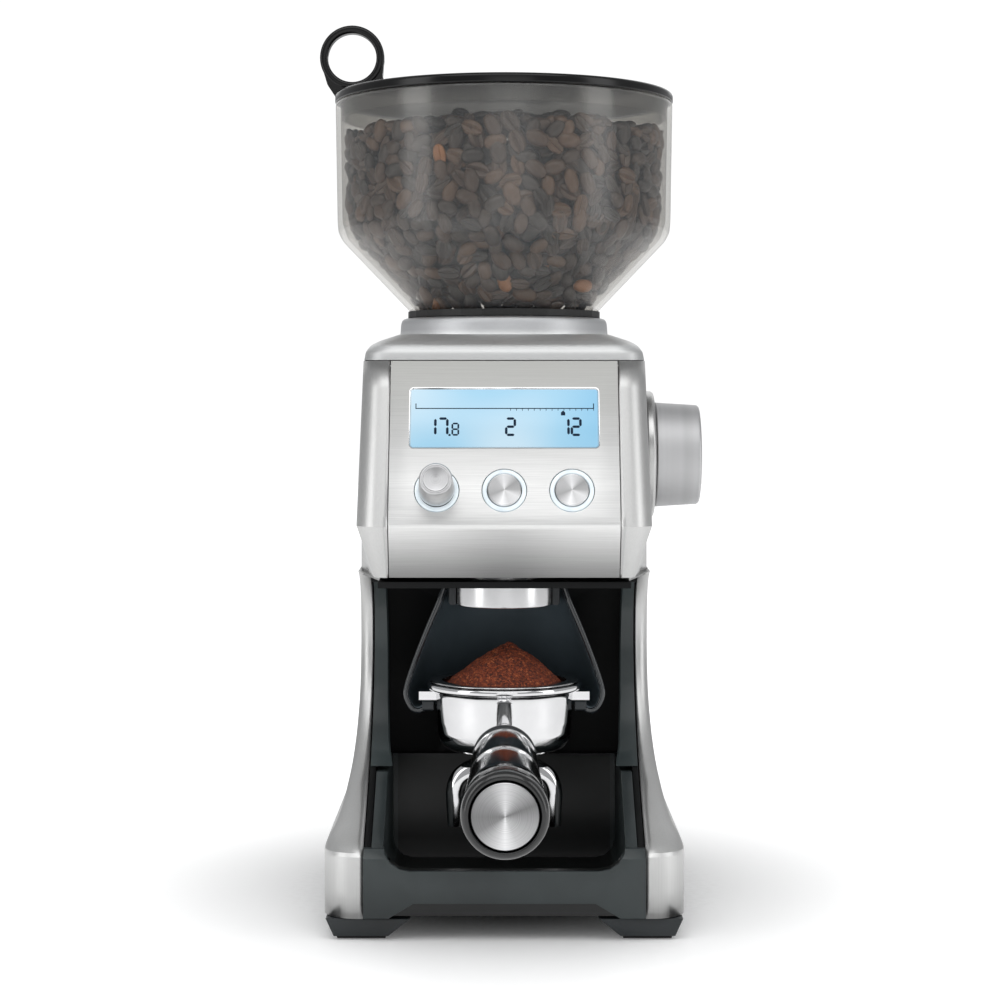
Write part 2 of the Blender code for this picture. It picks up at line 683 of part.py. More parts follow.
def build_dial():
    """The grind size dial with its escutcheon, shaft and the pinion that turns the adjusting ring."""
    end = DIAL_START + DIAL_LENGTH
    escutcheon = [
        (ESCUTCHEON_RADIUS - 1 * MM, DIAL_START - 0.4 * MM),
        (ESCUTCHEON_RADIUS, DIAL_START - 1.2 * MM),
        (ESCUTCHEON_RADIUS, COLUMN_HALF_WIDTH + GAP),
        (SHAFT_RADIUS + 0.6 * MM, COLUMN_HALF_WIDTH + GAP),
        (SHAFT_RADIUS + 0.6 * MM, DIAL_START - 0.4 * MM),
    ]
    place("dial_escutcheon", turned(escutcheon, 24), (BRUSHED, 0.35, 1.0), parent=dial_frame)
    bore = SHAFT_RADIUS + GAP
    dial = [
        (0, end - 0.6 * MM),
        (DIAL_RADIUS - 3.2 * MM, end - 0.6 * MM),
        (DIAL_RADIUS - 2.4 * MM, end),
        (DIAL_RADIUS - 1.2 * MM - 0.8 * MM, end),
        (DIAL_RADIUS - 1.2 * MM, end - 0.8 * MM),
        (DIAL_RADIUS, DIAL_START + 0.5 * MM),
        (DIAL_RADIUS - 0.5 * MM, DIAL_START),
        (bore, DIAL_START),
        (bore, DIAL_START + 10 * MM),
        (0, DIAL_START + 10 * MM),
    ]
    place("grind_dial", turned(dial, 28, False), (STEEL, 0.25, 1.0), parent=dial_frame)
    start = CROWN_RADIUS - 4 * MM
    low, high = CROWN_RADIUS - 2 * MM, CROWN_RADIUS + 2 * MM
    place(
        "dial_shaft",
        rod(SHAFT_RADIUS, start, DIAL_START + 10 * MM - GAP, 20),
        (STEEL, 0.3, 1.0),
        parent=dial_frame,
    )
    phase = math.pi / PINION_TEETH
    outline = gear_outline(PINION_TEETH, DIAL_MODULE, phase=phase)
    pinion = place("dial_pinion", prism(outline, low, high), ((0.8, 0.8, 0.75), 0.5), parent=dial_frame)
    cut(pinion, cutter(rod(bore, low - MM, high + MM, 20), parent=dial_frame))


# Burrs and drive


def build_adjusting_ring():
    """The ring that screws the upper burr up and down, with crown teeth on the side of the dial."""
    pitch_z = DIAL_Z - DIAL_PINION_RADIUS
    root = pitch_z - 1.1 * DIAL_MODULE
    inner, outer = CARRIER_RADIUS + 0.4 * MM, CROWN_RADIUS + 3.5 * MM
    low = HOUSING_TOP + GAP
    ring = place(
        "adjusting_ring",
        turned([(outer, root - 0.2 * MM), (outer, low), (inner, low), (inner, root - 0.2 * MM)], 36),
        ((0.75, 0.74, 0.7), 0.5),
    )
    pitch = math.pi * DIAL_MODULE
    slope = math.tan(math.radians(20))
    tip_up = 0.65 * DIAL_MODULE
    half_pitch = pitch / 4 - 0.17 * MM
    half_tip, half_root = half_pitch - tip_up * slope, half_pitch + 1.1 * DIAL_MODULE * slope
    first = -(CROWN_SECTOR // 2)
    last = first + CROWN_SECTOR
    rack = [((tooth - 0.5) * pitch, root - MM) for tooth in range(last, first - 1, -1)]
    rack.append(((first - 0.5) * pitch, root))
    for tooth in range(first, last):
        middle = tooth * pitch
        rack += [
            (middle - half_root, root),
            (middle - half_tip, pitch_z + tip_up),
            (middle + half_tip, pitch_z + tip_up),
            (middle + half_root, root),
        ]
    rack.append(((last - 0.5) * pitch, root))
    # The straight rack is bent round the ring: its length becomes an angle.
    mesh = prism(rack, CROWN_RADIUS - 2 * MM, CROWN_RADIUS + 2 * MM, "YZ")
    for vertex in mesh.vertices:
        radius, angle = vertex.co.x, vertex.co.y / CROWN_RADIUS
        vertex.co.x, vertex.co.y = radius * math.cos(angle), radius * math.sin(angle)
    join(ring, cutter(mesh))


def build_burrs():
    bore = BURR_SHAFT_RADIUS + GAP
    plate_low, plate_high = LINER_TOP + 0.3 * MM, LINER_TOP + 4.3 * MM
    plate = place(
        "gearbox_plate",
        block((-46 * MM, OUTLET_Y + OUTLET_RADIUS + 1.5 * MM, plate_low), (46 * MM, 76 * MM, plate_high)),
        (STEEL, 0.5, 1.0),
    )
    cut(plate, cutter(rod(bore, plate_low - MM, plate_high + MM, 20)))
    cut(plate, cutter(rod(2.9 * MM, plate_low - MM, plate_high + MM, 16), (0, MOTOR_Y, 0)))
    gear_low, gear_high = plate_high + 2.2 * MM, HOUSING_FLOOR - 3.2 * MM
    gear = place(
        "drive_gear",
        prism(gear_outline(DRIVE_TEETH, DRIVE_MODULE), gear_low, gear_high),
        ((0.8, 0.79, 0.74), 0.5),
    )
    cut(gear, cutter(rod(bore, gear_low - MM, gear_high + MM, 20)))
    phase = math.pi / PINION_TEETH
    pinion = prism(gear_outline(PINION_TEETH, DRIVE_MODULE, phase=phase), gear_low, gear_high)
    shaft = place("motor_shaft", pinion, (STEEL, 0.35, 1.0), (0, MOTOR_Y, 0))
    join(shaft, cutter(rod(2.5 * MM, plate_low - 7 * MM, gear_low + MM, 16), (0, MOTOR_Y, 0)))
    top, hole = plate_low - GAP, plate_low - 8 * MM
    can = [
        (0, hole),
        (2.9 * MM, hole),
        (2.9 * MM, top),
        (MOTOR_RADIUS, top),
        (MOTOR_RADIUS, MOTOR_BOTTOM),
        (0, MOTOR_BOTTOM),
    ]
    place("motor", turned(can, 20, False), (STEEL, 0.4, 1.0), (0, MOTOR_Y, 0))

    floor_top = HOUSING_FLOOR + 3 * MM
    wall = HOUSING_RADIUS - 3 * MM
    cup = [
        (HOUSING_RADIUS, HOUSING_TOP),
        (HOUSING_RADIUS, HOUSING_FLOOR),
        (bore + MM, HOUSING_FLOOR),
        (bore + MM, floor_top),
        (wall, floor_top),
        (wall, HOUSING_TOP),
    ]
    housing = place("burr_housing", turned(cup, 28), ((0.1, 0.1, 0.1), 0.5))
    for angle in (55, 125, 235, 305):
        turn = math.radians(angle)
        spot = (math.cos(turn) * (HOUSING_RADIUS - 2.4 * MM), math.sin(turn) * (HOUSING_RADIUS - 2.4 * MM), 0)
        join(housing, cutter(rod(2.2 * MM, plate_high + GAP, HOUSING_FLOOR + MM, 10), spot))
    mouth = block((-10.5 * MM, -HOUSING_RADIUS - 5 * MM, floor_top + GAP), (10.5 * MM, -30 * MM, HOUSING_TOP - 2 * MM))
    cut(housing, cutter(mouth))

    # The impeller sweeps the ground coffee round the housing to its mouth.
    disc = [(wall - 2.6 * MM, floor_top + 2.4 * MM), (wall - 2.6 * MM, floor_top + 0.9 * MM)]
    disc += [(bore, floor_top + 0.9 * MM), (bore, floor_top + 2.4 * MM)]
    impeller = place("impeller", turned(disc, 24), (STEEL, 0.4, 1.0))
    for quarter in range(4):
        blade = block((24 * MM, -1 * MM, floor_top + 1.5 * MM), (wall - 4 * MM, 1 * MM, floor_top + 5.5 * MM))
        join(impeller, cutter(blade, rotation=(0, 0, math.radians(45 + 90 * quarter))))
    low = floor_top + 5.9 * MM
    high = low + 18 * MM
    place("lower_burr", turned([(13 * MM, high), (19 * MM, low), (bore, low), (bore, high)], 24), (STEEL, 0.3, 1.0))
    place("burr_shaft", rod(BURR_SHAFT_RADIUS, plate_low + 0.5 * MM, high, 20), (STEEL, 0.3, 1.0))
    place("burr_nut", rod(5.6 * MM, high + GAP, high + 5 * MM, 6), (STEEL, 0.3, 1.0))
    ring_low = low + 2 * MM
    upper = [
        (21.5 * MM, ring_low + 20 * MM),
        (26 * MM, ring_low + 20 * MM),
        (26 * MM, ring_low),
        (19.6 * MM, ring_low),
        (14.9 * MM, ring_low + 14 * MM),
    ]
    place("upper_burr", turned(upper, 24), (STEEL, 0.3, 1.0))
    seat = ring_low + 20 * MM + GAP
    carrier_low = HOUSING_TOP - 1.5 * MM
    flange = seat + 5 * MM
    body = [
        (CARRIER_RADIUS + 2.2 * MM, flange + 4 * MM),
        (CARRIER_RADIUS + 2.2 * MM, flange),
        (CARRIER_RADIUS, flange - 2 * MM),
        (CARRIER_RADIUS, carrier_low),
        (26 * MM + GAP, carrier_low),
        (26 * MM + GAP, seat),
        (22.5 * MM, seat),
        (22.5 * MM, seat + 2 * MM),
        (CARRIER_RADIUS, flange + 4 * MM),
    ]
    carrier = place("burr_carrier", turned(body, 24), ((0.12, 0.12, 0.12), 0.5))
    bail_z = flange + 7 * MM
    bail_reach = 27 * MM
    for sign in (-1, 1):
        low_x, high_x = sorted((sign * 30 * MM, sign * 33 * MM))
        ear = block((low_x, -3 * MM, flange + 1 * MM), (high_x, 3 * MM, bail_z + 2.5 * MM))
        join(carrier, cutter(ear))
    turn = (0, math.radians(90), 0)
    cut(carrier, cutter(rod(1.4 * MM, -40 * MM, 40 * MM, 12), (0, 0, bail_z), turn))
    curve = bpy.data.curves.new("bail", "CURVE")
    curve.dimensions = "3D"
    curve.bevel_depth = 1 * MM
    curve.bevel_resolution = 1
    curve.use_fill_caps = True
    path = [(34 * MM, 0)] + arc((0, 0), bail_reach, 0, 180, 10) + [(-34 * MM, 0)]
    spline = curve.splines.new("POLY")
    spline.points.add(len(path) - 1)
    for point, (x, y) in zip(spline.points, path):
        point.co = (x, y, 0, 1)
    source = bpy.data.objects.new("bail", curve)
    CUTTERS.objects.link(source)
    place("burr_bail", evaluated_mesh(source), (STEEL, 0.3, 1.0), (0, 0, bail_z))
    return floor_top


def build_chute(floor_top):
    """The sloping duct from the burr housing's mouth down to the outlet."""
    start = -HOUSING_RADIUS - 0.4 * MM
    bottom = LINER_TOP + 1.8 * MM
    outer = [
        (start, floor_top - 2 * MM),
        (start, HOUSING_TOP),
        (OUTLET_Y, HOUSING_TOP),
        (OUTLET_Y - 13 * MM, HOUSING_TOP - 12 * MM),
        (OUTLET_Y - 13 * MM, bottom),
        (OUTLET_Y + 12 * MM, bottom),
        (OUTLET_Y + 12 * MM, HOUSING_FLOOR - 4 * MM),
    ]
    inner = [
        (start + 5 * MM, floor_top + GAP),
        (start + 5 * MM, HOUSING_TOP - 2 * MM),
        (OUTLET_Y, HOUSING_TOP - 2 * MM),
        (OUTLET_Y - 10.5 * MM, HOUSING_TOP - 13 * MM),
        (OUTLET_Y - 10.5 * MM, bottom - 5 * MM),
        (OUTLET_Y + 9.8 * MM, bottom - 5 * MM),
        (OUTLET_Y + 9.8 * MM, HOUSING_FLOOR - 3 * MM),
        (start, floor_top + GAP),
    ]
    chute = place("grind_chute", prism(outer, -13 * MM, 13 * MM, "YZ"), ((0.1, 0.1, 0.1), 0.5))
    cut(chute, cutter(prism(inner, -10.5 * MM, 10.5 * MM, "YZ")))
    ring = [
        (OUTLET_RADIUS, LINER_TOP + 1.5 * MM),
        (OUTLET_RADIUS, OUTLET_BOTTOM + 1 * MM),
        (OUTLET_RADIUS - 1 * MM, OUTLET_BOTTOM),
        (OUTLET_RADIUS - 3.2 * MM, OUTLET_BOTTOM),
        (OUTLET_RADIUS - 3.2 * MM, LINER_TOP + 1.5 * MM),
    ]
    place("outlet_ring", turned(ring, 24), (STEEL, 0.15, 1.0), (0, OUTLET_Y, 0))


# Cradle, portafilter and tray

CRADLE_PATH = [
    (25.6, 42.0),
    (28.5, 34),
    (33.5, 22),
    (38.5, 9),
    (42, -1.5),
    (42.4, -6.5),
    (40, -11.5),
    (37, -12.6),
    (34.2, -11.2),
    (33.4, -8.3),
]


def build_cradle():
    """The bell-shaped shield behind the portafilter, whose rolled lower edge carries the bowl's lugs."""
    mount = [
        (OUTLET_RADIUS + 3.2 * MM, LINER_TOP - 3.1 * MM),
        (OUTLET_RADIUS + 3.2 * MM, LINER_TOP - 12 * MM),
        (OUTLET_RADIUS + GAP, LINER_TOP - 12 * MM),
        (OUTLET_RADIUS + GAP, LINER_TOP - 3.1 * MM),
    ]
    place("cradle_mount", turned(mount, 24), (BLACK, 0.4), (0, OUTLET_Y, 0))
    path = [(radius * MM, RIM_TOP + up * MM) for radius, up in CRADLE_PATH]
    mesh = turned(path, 16, False, 180, 2.2 * MM)
    place("cradle", mesh, (BLACK, 0.4), (0, OUTLET_Y, 0))
    collar = [
        (0, 0.3 * MM),
        (2.9 * MM, 0),
        (2.9 * MM, -7.0 * MM),
        (4.2 * MM, -7.0 * MM),
        (4.2 * MM, -8.2 * MM),
        (0, -8.2 * MM),
    ]
    # The plunger's local +Z points forwards out of the liner's back wall.
    spot = (0, LINER_BACK - 3.7 * MM, SWITCH_Z)
    place("switch_plunger", turned(collar, 16, False), (BLACK, 0.4), spot, (math.radians(90), 0, 0))
    low, high = (-7 * MM, 2 * MM, SWITCH_Z - 5 * MM), (7 * MM, 9 * MM, SWITCH_Z + 5 * MM)
    place("portafilter_switch", block(low, high), (BLACK, 0.4))


def build_portafilter():
    spot = (0, OUTLET_Y, 0)
    outer = RIM_RADIUS - 3.9 * MM
    bowl = [
        (RIM_RADIUS - 0.5 * MM, RIM_TOP),
        (RIM_RADIUS, RIM_TOP - 0.5 * MM),
        (RIM_RADIUS, RIM_TOP - 2.7 * MM),
        (outer + 0.6 * MM, RIM_TOP - 3.6 * MM),
        (outer, RIM_TOP - 5 * MM),
        (outer - 0.4 * MM, BOWL_BOTTOM + 12 * MM),
        (outer - 2.4 * MM, BOWL_BOTTOM + 6 * MM),
        (outer - 5.2 * MM, BOWL_BOTTOM + 2 * MM),
        (21.3 * MM, BOWL_BOTTOM),
        (0, BOWL_BOTTOM),
    ]
    inside = [
        (0, BOWL_BOTTOM + 2.5 * MM),
        (20 * MM, BOWL_BOTTOM + 2.5 * MM),
        (outer - 4 * MM, BOWL_BOTTOM + 8 * MM),
        (outer - 1.6 * MM, BOWL_BOTTOM + 14 * MM),
        (outer - 1.4 * MM, RIM_TOP),
    ]
    body = place("portafilter_bowl", turned(inside + bowl, 28, False), (STEEL, 0.1, 1.0), spot)
    neck = [
        (5.2 * MM, -1.5 * MM, 0),
        (5.2 * MM, 6 * MM, 0),
        (7.5 * MM, 24 * MM, 0),
        (11.6 * MM, 44 * MM, 0),
    ]
    outline = [(0, neck[-1][1])] + [(r, up) for r, up, _ in neck[::-1]] + [(0, neck[0][1])]
    join(body, cutter(turned(outline, 16, False), parent=handle_frame))
    for sign in (-1, 1):
        low_x, high_x = sorted((sign * (RIM_RADIUS - 5 * MM), sign * (RIM_RADIUS + 3.2 * MM)))
        lug = block((low_x, -3.5 * MM, RIM_TOP - 7.6 * MM), (high_x, 3.5 * MM, RIM_TOP - 4 * MM))
        join(body, cutter(lug, spot))
    inner = outer - 1.4 * MM - 2 * GAP
    basket = [
        (RIM_RADIUS - 1.6 * MM, RIM_TOP + 1.1 * MM),
        (RIM_RADIUS - 1.6 * MM, RIM_TOP + GAP),
        (inner, RIM_TOP + GAP),
        (inner, BOWL_BOTTOM + 14.5 * MM),
        (inner - 3 * MM, BOWL_BOTTOM + 8.5 * MM),
        (0, BOWL_BOTTOM + 8.5 * MM),
    ]
    well = [
        (0, BOWL_BOTTOM + 9.3 * MM),
        (inner - 3.4 * MM, BOWL_BOTTOM + 9.3 * MM),
        (inner - 0.8 * MM, BOWL_BOTTOM + 14.7 * MM),
        (inner - 0.8 * MM, RIM_TOP + 1.1 * MM),
    ]
    place("filter_basket", turned(well + basket, 24, False), (STEEL, 0.2, 1.0), spot)
    start = neck[-1][1] + GAP
    ferrule_end = start + 48 * MM
    ferrule = [
        (0, ferrule_end),
        (13.8 * MM, ferrule_end),
        (13.1 * MM, start + 12 * MM),
        (12.4 * MM, start),
        (0, start),
    ]
    place("handle_ferrule", turned(ferrule, 20, False), (STEEL, 0.15, 1.0), parent=handle_frame)
    handle_start = ferrule_end + GAP
    length = (HANDLE_END + NECK_Y - 0.9 * MM) / math.cos(HANDLE_DROP)
    grip = [
        (0, length - 2.6 * MM),
        (HANDLE_RADIUS - 3.4 * MM, length - 2.6 * MM),
        (HANDLE_RADIUS - 3.3 * MM, length - 0.2 * MM),
        (HANDLE_RADIUS - 1.8 * MM, length - 0.2 * MM),
        (HANDLE_RADIUS, length - 3.5 * MM),
        (HANDLE_RADIUS - 0.9 * MM, length - 25 * MM),
        (HANDLE_RADIUS - 2.1 * MM, handle_start),
        (0, handle_start),
    ]
    place("handle", turned(grip, 20, False), (BLACK, 0.4), parent=handle_frame)
    disc = [
        (0, length),
        (HANDLE_RADIUS - 4.2 * MM, length),
        (HANDLE_RADIUS - 3.7 * MM, length - 0.6 * MM),
        (HANDLE_RADIUS - 3.7 * MM, length - 2.3 * MM),
        (0, length - 2.3 * MM),
    ]
    place("handle_cap", turned(disc, 20, False), (STEEL, 0.3, 1.0), parent=handle_frame)
    spout = place("spout", rod(8.5 * MM, BOWL_BOTTOM - 13 * MM, BOWL_BOTTOM - GAP), (STEEL, 0.15, 1.0), spot)
    spread = 20.8 * MM
    turn = (0, math.radians(90), 0)
    join(spout, cutter(rod(5 * MM, -spread, spread, 16), (0, OUTLET_Y, BOWL_BOTTOM - 10.5 * MM), turn))
    for sign in (-1, 1):
        tip = rod(3.3 * MM, BOWL_BOTTOM - 33.5 * MM, BOWL_BOTTOM - 9.5 * MM, 16, 5.2 * MM)
        join(spout, cutter(tip, (sign * spread, OUTLET_Y, 0)))


def build_tray():
    """The grinds tray: a bin that slides in between the liner's walls, with a fascia and a U-shaped mouth."""
    back = LINER_BACK - 0.6 * MM
    side = [(max(y, -FASCIA_BACK), z) for y, z in edge_profile(0.4 * MM, TRAY_TOP, TRAY_BOTTOM, back)]
    tray = place("grinds_tray", prism(side, -TRAY_HALF_WIDTH, TRAY_HALF_WIDTH, "YZ"), (CHARCOAL, 0.45))
    half = EDGE_X - GAP
    fascia = prism(
        [
            (-FASCIA_FRONT, FASCIA_BOTTOM),
            (-FASCIA_BACK, FASCIA_BOTTOM),
            (-FASCIA_BACK, 37.5 * MM),
            (-FASCIA_FRONT + 3.5 * MM, 37.5 * MM),
            (-FASCIA_FRONT, 34 * MM),
        ],
        -half,
        half,
        "YZ",
    )
    for vertex in fascia.vertices:
        vertex.co.y += 0.01 * MM if vertex.co.y > -FASCIA_FRONT + 5 * MM else 0
    join(tray, cutter(fascia))
    inner = TRAY_HALF_WIDTH - TRAY_WALL
    bin_outline = rounded_box(inner, TRAY_BOTTOM + 3 * MM, 120 * MM, 9 * MM, 3)
    cut(tray, cutter(prism(bin_outline, -FASCIA_BACK + 0.5 * MM, back - 3.5 * MM, "XZ")))
    mouth = rounded_box(inner, LIP_Z, 120 * MM, 11 * MM, 4)
    cut(tray, cutter(prism(mouth, -130 * MM, -FASCIA_BACK + 3 * MM, "XZ")))
    notch = [
        (-48.6 * MM, FASCIA_BOTTOM - MM),
        (-37 * MM, FASCIA_BOTTOM + 6 * MM),
        (37 * MM, FASCIA_BOTTOM + 6 * MM),
        (48.6 * MM, FASCIA_BOTTOM - MM),
    ]
    cut(tray, cutter(prism(notch, -130 * MM, -FASCIA_FRONT + 5 * MM, "XZ")))


# Hopper and lid


def sector(inner, outer, middle, spread, steps=5):
    """A flat sector outline."""
    return arc((0, 0), outer, middle - spread, middle + spread, steps) + arc(
        (0, 0), inner, middle + spread, middle - spread, steps
    )


def build_hopper():
    wall = HOPPER_WALL
    floor_low, floor_high = NECK_BOTTOM + 4.2 * MM, NECK_BOTTOM + 6.4 * MM
    shell = [
        (HOPPER_RADIUS, HOPPER_TOP),
        (HOPPER_RADIUS - 0.9 * MM, CONE_TOP + 3 * MM),
        (HOPPER_RADIUS - 1.3 * MM, CONE_TOP - 1.5 * MM),
        (HOPPER_RADIUS - 3.4 * MM, CONE_TOP - 5.5 * MM),
        (NECK_RADIUS + 3.3 * MM, CONE_BOTTOM + 2.9 * MM),
        (NECK_RADIUS + 0.3 * MM, CONE_BOTTOM),
        (NECK_RADIUS, CONE_BOTTOM - 1 * MM),
        (NECK_RADIUS, NECK_BOTTOM),
        (NECK_RADIUS - wall, NECK_BOTTOM),
        (NECK_RADIUS - wall, floor_low),
        (SHAFT_RADIUS + 0.4 * MM, floor_low),
        (SHAFT_RADIUS + 0.4 * MM, floor_high),
        (NECK_RADIUS - wall, floor_high),
        (NECK_RADIUS - wall, CONE_BOTTOM),
        (NECK_RADIUS + 3.3 * MM - wall, CONE_BOTTOM + 4 * MM),
        (HOPPER_RADIUS - 3.4 * MM - wall, CONE_TOP - 4.4 * MM),
        (HOPPER_RADIUS - 0.9 * MM - wall, CONE_TOP + 3 * MM),
        (HOPPER_RADIUS - wall, HOPPER_TOP),
    ]
    hopper = place("hopper", turned(shell, 36), ((0.35, 0.34, 0.33), 0.05))
    window = NECK_RADIUS - wall - 3 * MM
    for middle in (0, 180):
        cut(hopper, cutter(prism(sector(9 * MM, window, middle, 38), floor_low - 2 * MM, floor_high + 2 * MM)))
    gate_high = floor_low - 0.4 * MM
    gate_low = gate_high - 1.8 * MM
    gate = place("hopper_gate", rod(window + 1.5 * MM, gate_low, gate_high, 36), ((0.3, 0.3, 0.3), 0.3))
    for middle in (0, 180):
        cut(gate, cutter(prism(sector(9 * MM, window, middle, 38), gate_low - MM, gate_high + MM)))
    knob_low = floor_high + 0.4 * MM
    knob = [
        (0, knob_low + 9 * MM),
        (12.5 * MM, knob_low + 9 * MM),
        (15 * MM, knob_low + 7 * MM),
        (15 * MM, knob_low),
        (SHAFT_RADIUS, knob_low),
        (SHAFT_RADIUS, gate_high + 0.2 * MM),
        (0, gate_high + 0.2 * MM),
    ]
    lock = place("hopper_lock_knob", turned(knob, 18, False), (BLACK, 0.4))
    grip = block((-12.5 * MM, -3 * MM, knob_low + 8 * MM), (12.5 * MM, 3 * MM, knob_low + 18 * MM), 1 * MM)
    join(lock, cutter(grip))
    seal_low = COLLAR_TOP + GAP
    seal = [
        (NECK_RADIUS + 0.4 * MM, CONE_BOTTOM - 0.5 * MM),
        (NECK_RADIUS + 3.4 * MM, CONE_BOTTOM + 2.0 * MM),
        (NECK_RADIUS + 3.4 * MM, seal_low),
        (NECK_RADIUS + 0.4 * MM, seal_low),
    ]
    place("hopper_seal", turned(seal, 28), (BLACK, 0.6))

    lid_low = HOPPER_TOP + GAP
    lid_high = lid_low + LID_THICKNESS
    disc = [
        (0, lid_high - 1.6 * MM),
        (HOPPER_RADIUS - 5.5 * MM, lid_high - 1.6 * MM),
        (HOPPER_RADIUS - 4.5 * MM, lid_high),
        (HOPPER_RADIUS - 0.8 * MM, lid_high),
        (HOPPER_RADIUS + 0.2 * MM, lid_high - 0.9 * MM),
        (HOPPER_RADIUS + 0.2 * MM, lid_low),
        (0, lid_low),
    ]
    lid = place("lid", turned(disc, 36, False), (BLACK, 0.2))
    loop_x, loop_z = -(HOPPER_RADIUS - 7.4 * MM), lid_high + 16.8 * MM
    ring = [
        (LOOP_RADIUS, LOOP_WIDTH / 2 - 0.8 * MM),
        (LOOP_RADIUS, 0.8 * MM - LOOP_WIDTH / 2),
        (LOOP_RADIUS - 0.8 * MM, -LOOP_WIDTH / 2),
        (LOOP_HOLE + 0.8 * MM, -LOOP_WIDTH / 2),
        (LOOP_HOLE, 0.8 * MM - LOOP_WIDTH / 2),
        (LOOP_HOLE, LOOP_WIDTH / 2 - 0.8 * MM),
        (LOOP_HOLE + 0.8 * MM, LOOP_WIDTH / 2),
        (LOOP_RADIUS - 0.8 * MM, LOOP_WIDTH / 2),
    ]
    turn = (math.radians(90), 0, 0)
    right = loop_x + LOOP_RADIUS - 0.2 * MM
    foot = lid_high - 2.6 * MM
    web = [
        (right, loop_z),
        (right, foot),
        (1 * MM - HOPPER_RADIUS, foot),
        (loop_x - LOOP_RADIUS * 0.9, loop_z - LOOP_RADIUS * 0.4),
    ]
    join(lid, cutter(turned(ring, 24), (loop_x, 0, loop_z), turn))
    foot_piece = cutter(prism(web, 0.4 * MM - LOOP_WIDTH / 2, LOOP_WIDTH / 2 - 0.4 * MM, "XZ"))
    middle = (LOOP_RADIUS + LOOP_HOLE) / 2
    cut(foot_piece, cutter(rod(middle, -LOOP_WIDTH, LOOP_WIDTH, 36), (loop_x, 0, loop_z), turn))
    join(lid, foot_piece)
    inner = HOPPER_RADIUS - wall
    plug = [
        (inner - 0.5 * MM, HOPPER_TOP),
        (inner - 0.5 * MM, HOPPER_TOP - 7 * MM),
        (inner - 2 * MM, HOPPER_TOP - 7 * MM),
        (inner - 2 * MM, HOPPER_TOP),
    ]
    place("lid_plug", turned(plug, 28), ((0.5, 0.5, 0.5), 0.1))


def build_power_board():
    low, high = (-38 * MM, DECK_BACK - 6 * MM, 30 * MM), (38 * MM, DECK_BACK - 4.4 * MM, 130 * MM)
    place("power_board", block(low, high), ((0.02, 0.2, 0.08), 0.5))


build_base()
build_side_panels()
build_top_cover()
build_front_panel()
build_back_cover()
build_inner_frame()
build_controls()
build_dial()
build_adjusting_ring()
build_chute(build_burrs())
build_cradle()
build_portafilter()
build_tray()
build_hopper()
build_power_board()
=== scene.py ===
import math
import random

import bmesh
import bpy
from mathutils import Matrix, Vector, noise


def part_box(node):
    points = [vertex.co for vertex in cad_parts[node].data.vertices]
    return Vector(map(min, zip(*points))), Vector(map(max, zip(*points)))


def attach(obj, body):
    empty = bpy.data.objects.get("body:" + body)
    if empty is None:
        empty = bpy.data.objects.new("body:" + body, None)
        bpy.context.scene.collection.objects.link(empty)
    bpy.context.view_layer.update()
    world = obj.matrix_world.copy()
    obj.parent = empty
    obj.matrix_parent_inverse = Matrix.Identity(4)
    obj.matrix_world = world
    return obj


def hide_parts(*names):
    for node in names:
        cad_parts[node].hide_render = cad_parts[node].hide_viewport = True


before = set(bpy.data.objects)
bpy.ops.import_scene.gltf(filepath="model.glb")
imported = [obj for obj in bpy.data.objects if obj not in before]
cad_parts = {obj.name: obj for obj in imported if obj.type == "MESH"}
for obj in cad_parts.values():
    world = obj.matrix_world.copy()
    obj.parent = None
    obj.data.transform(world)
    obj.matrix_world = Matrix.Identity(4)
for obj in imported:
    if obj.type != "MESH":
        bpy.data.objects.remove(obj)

for startup in ("Cube", "Light", "Camera"):
    if startup in bpy.data.objects:
        bpy.data.objects.remove(bpy.data.objects[startup])

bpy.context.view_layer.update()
MM = 0.001
# The hopper stands on the burr axis. "at_axis" puts a piece there, with heights from the table.
hopper_low, hopper_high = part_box("hopper")
burr_y = (hopper_low.y + hopper_high.y) / 2
at_axis = Matrix.Translation((0, burr_y, 0))


# --- Base plate and feet -------------------------------------------------------------------
# One injection-moulded tray of ABS with four hollow corner feet. A rubber pad is pushed into
# each foot. Moulded ABS has a fine spark-eroded grain that breaks up its sheen.
def linear(hex_colour):
    """An sRGB hex colour as the linear RGBA that a shader takes."""
    channels = [int(hex_colour[i : i + 2], 16) / 255 for i in (1, 3, 5)]
    return tuple(c / 12.92 if c <= 0.04045 else ((c + 0.055) / 1.055) ** 2.4 for c in channels) + (1.0,)


def node(tree, kind, settings=None, links=None, into=None):
    """Adds a node. settings fill its properties and sockets, links feed it, into is what it feeds."""
    made = tree.nodes.new("ShaderNode" + kind)
    for key, value in (settings or {}).items():
        if key == "stops":
            while len(made.color_ramp.elements) < len(value):
                made.color_ramp.elements.new(1.0)
            for element, (position, colour) in zip(made.color_ramp.elements, value):
                element.position, element.color = position, linear(colour)
        elif isinstance(key, str) and hasattr(made, key):
            setattr(made, key, value)
        else:
            made.inputs[key].default_value = value
    for key, source in (links or {}).items():
        source, output = source if isinstance(source, tuple) else (source, 0)
        tree.links.new(source.outputs[output], made.inputs[key])
    if into:
        tree.links.new(made.outputs[0], into[0].inputs[into[1]])
    return made


def start_material(name, colour, roughness, metallic=0.0, **sockets):
    """A material with one Principled shader, ready for its pattern nodes."""
    material = bpy.data.materials.new(name)
    material.use_nodes = True
    tree = material.node_tree
    tree.nodes.clear()
    values = {"Base Color": linear(colour), "Roughness": roughness, "Metallic": metallic}
    values.update({key.replace("_", " "): value for key, value in sockets.items()})
    shader = node(tree, "BsdfPrincipled", values)
    node(tree, "OutputMaterial", links={"Surface": shader})
    return material, tree, shader, (node(tree, "TexCoord"), "Object")


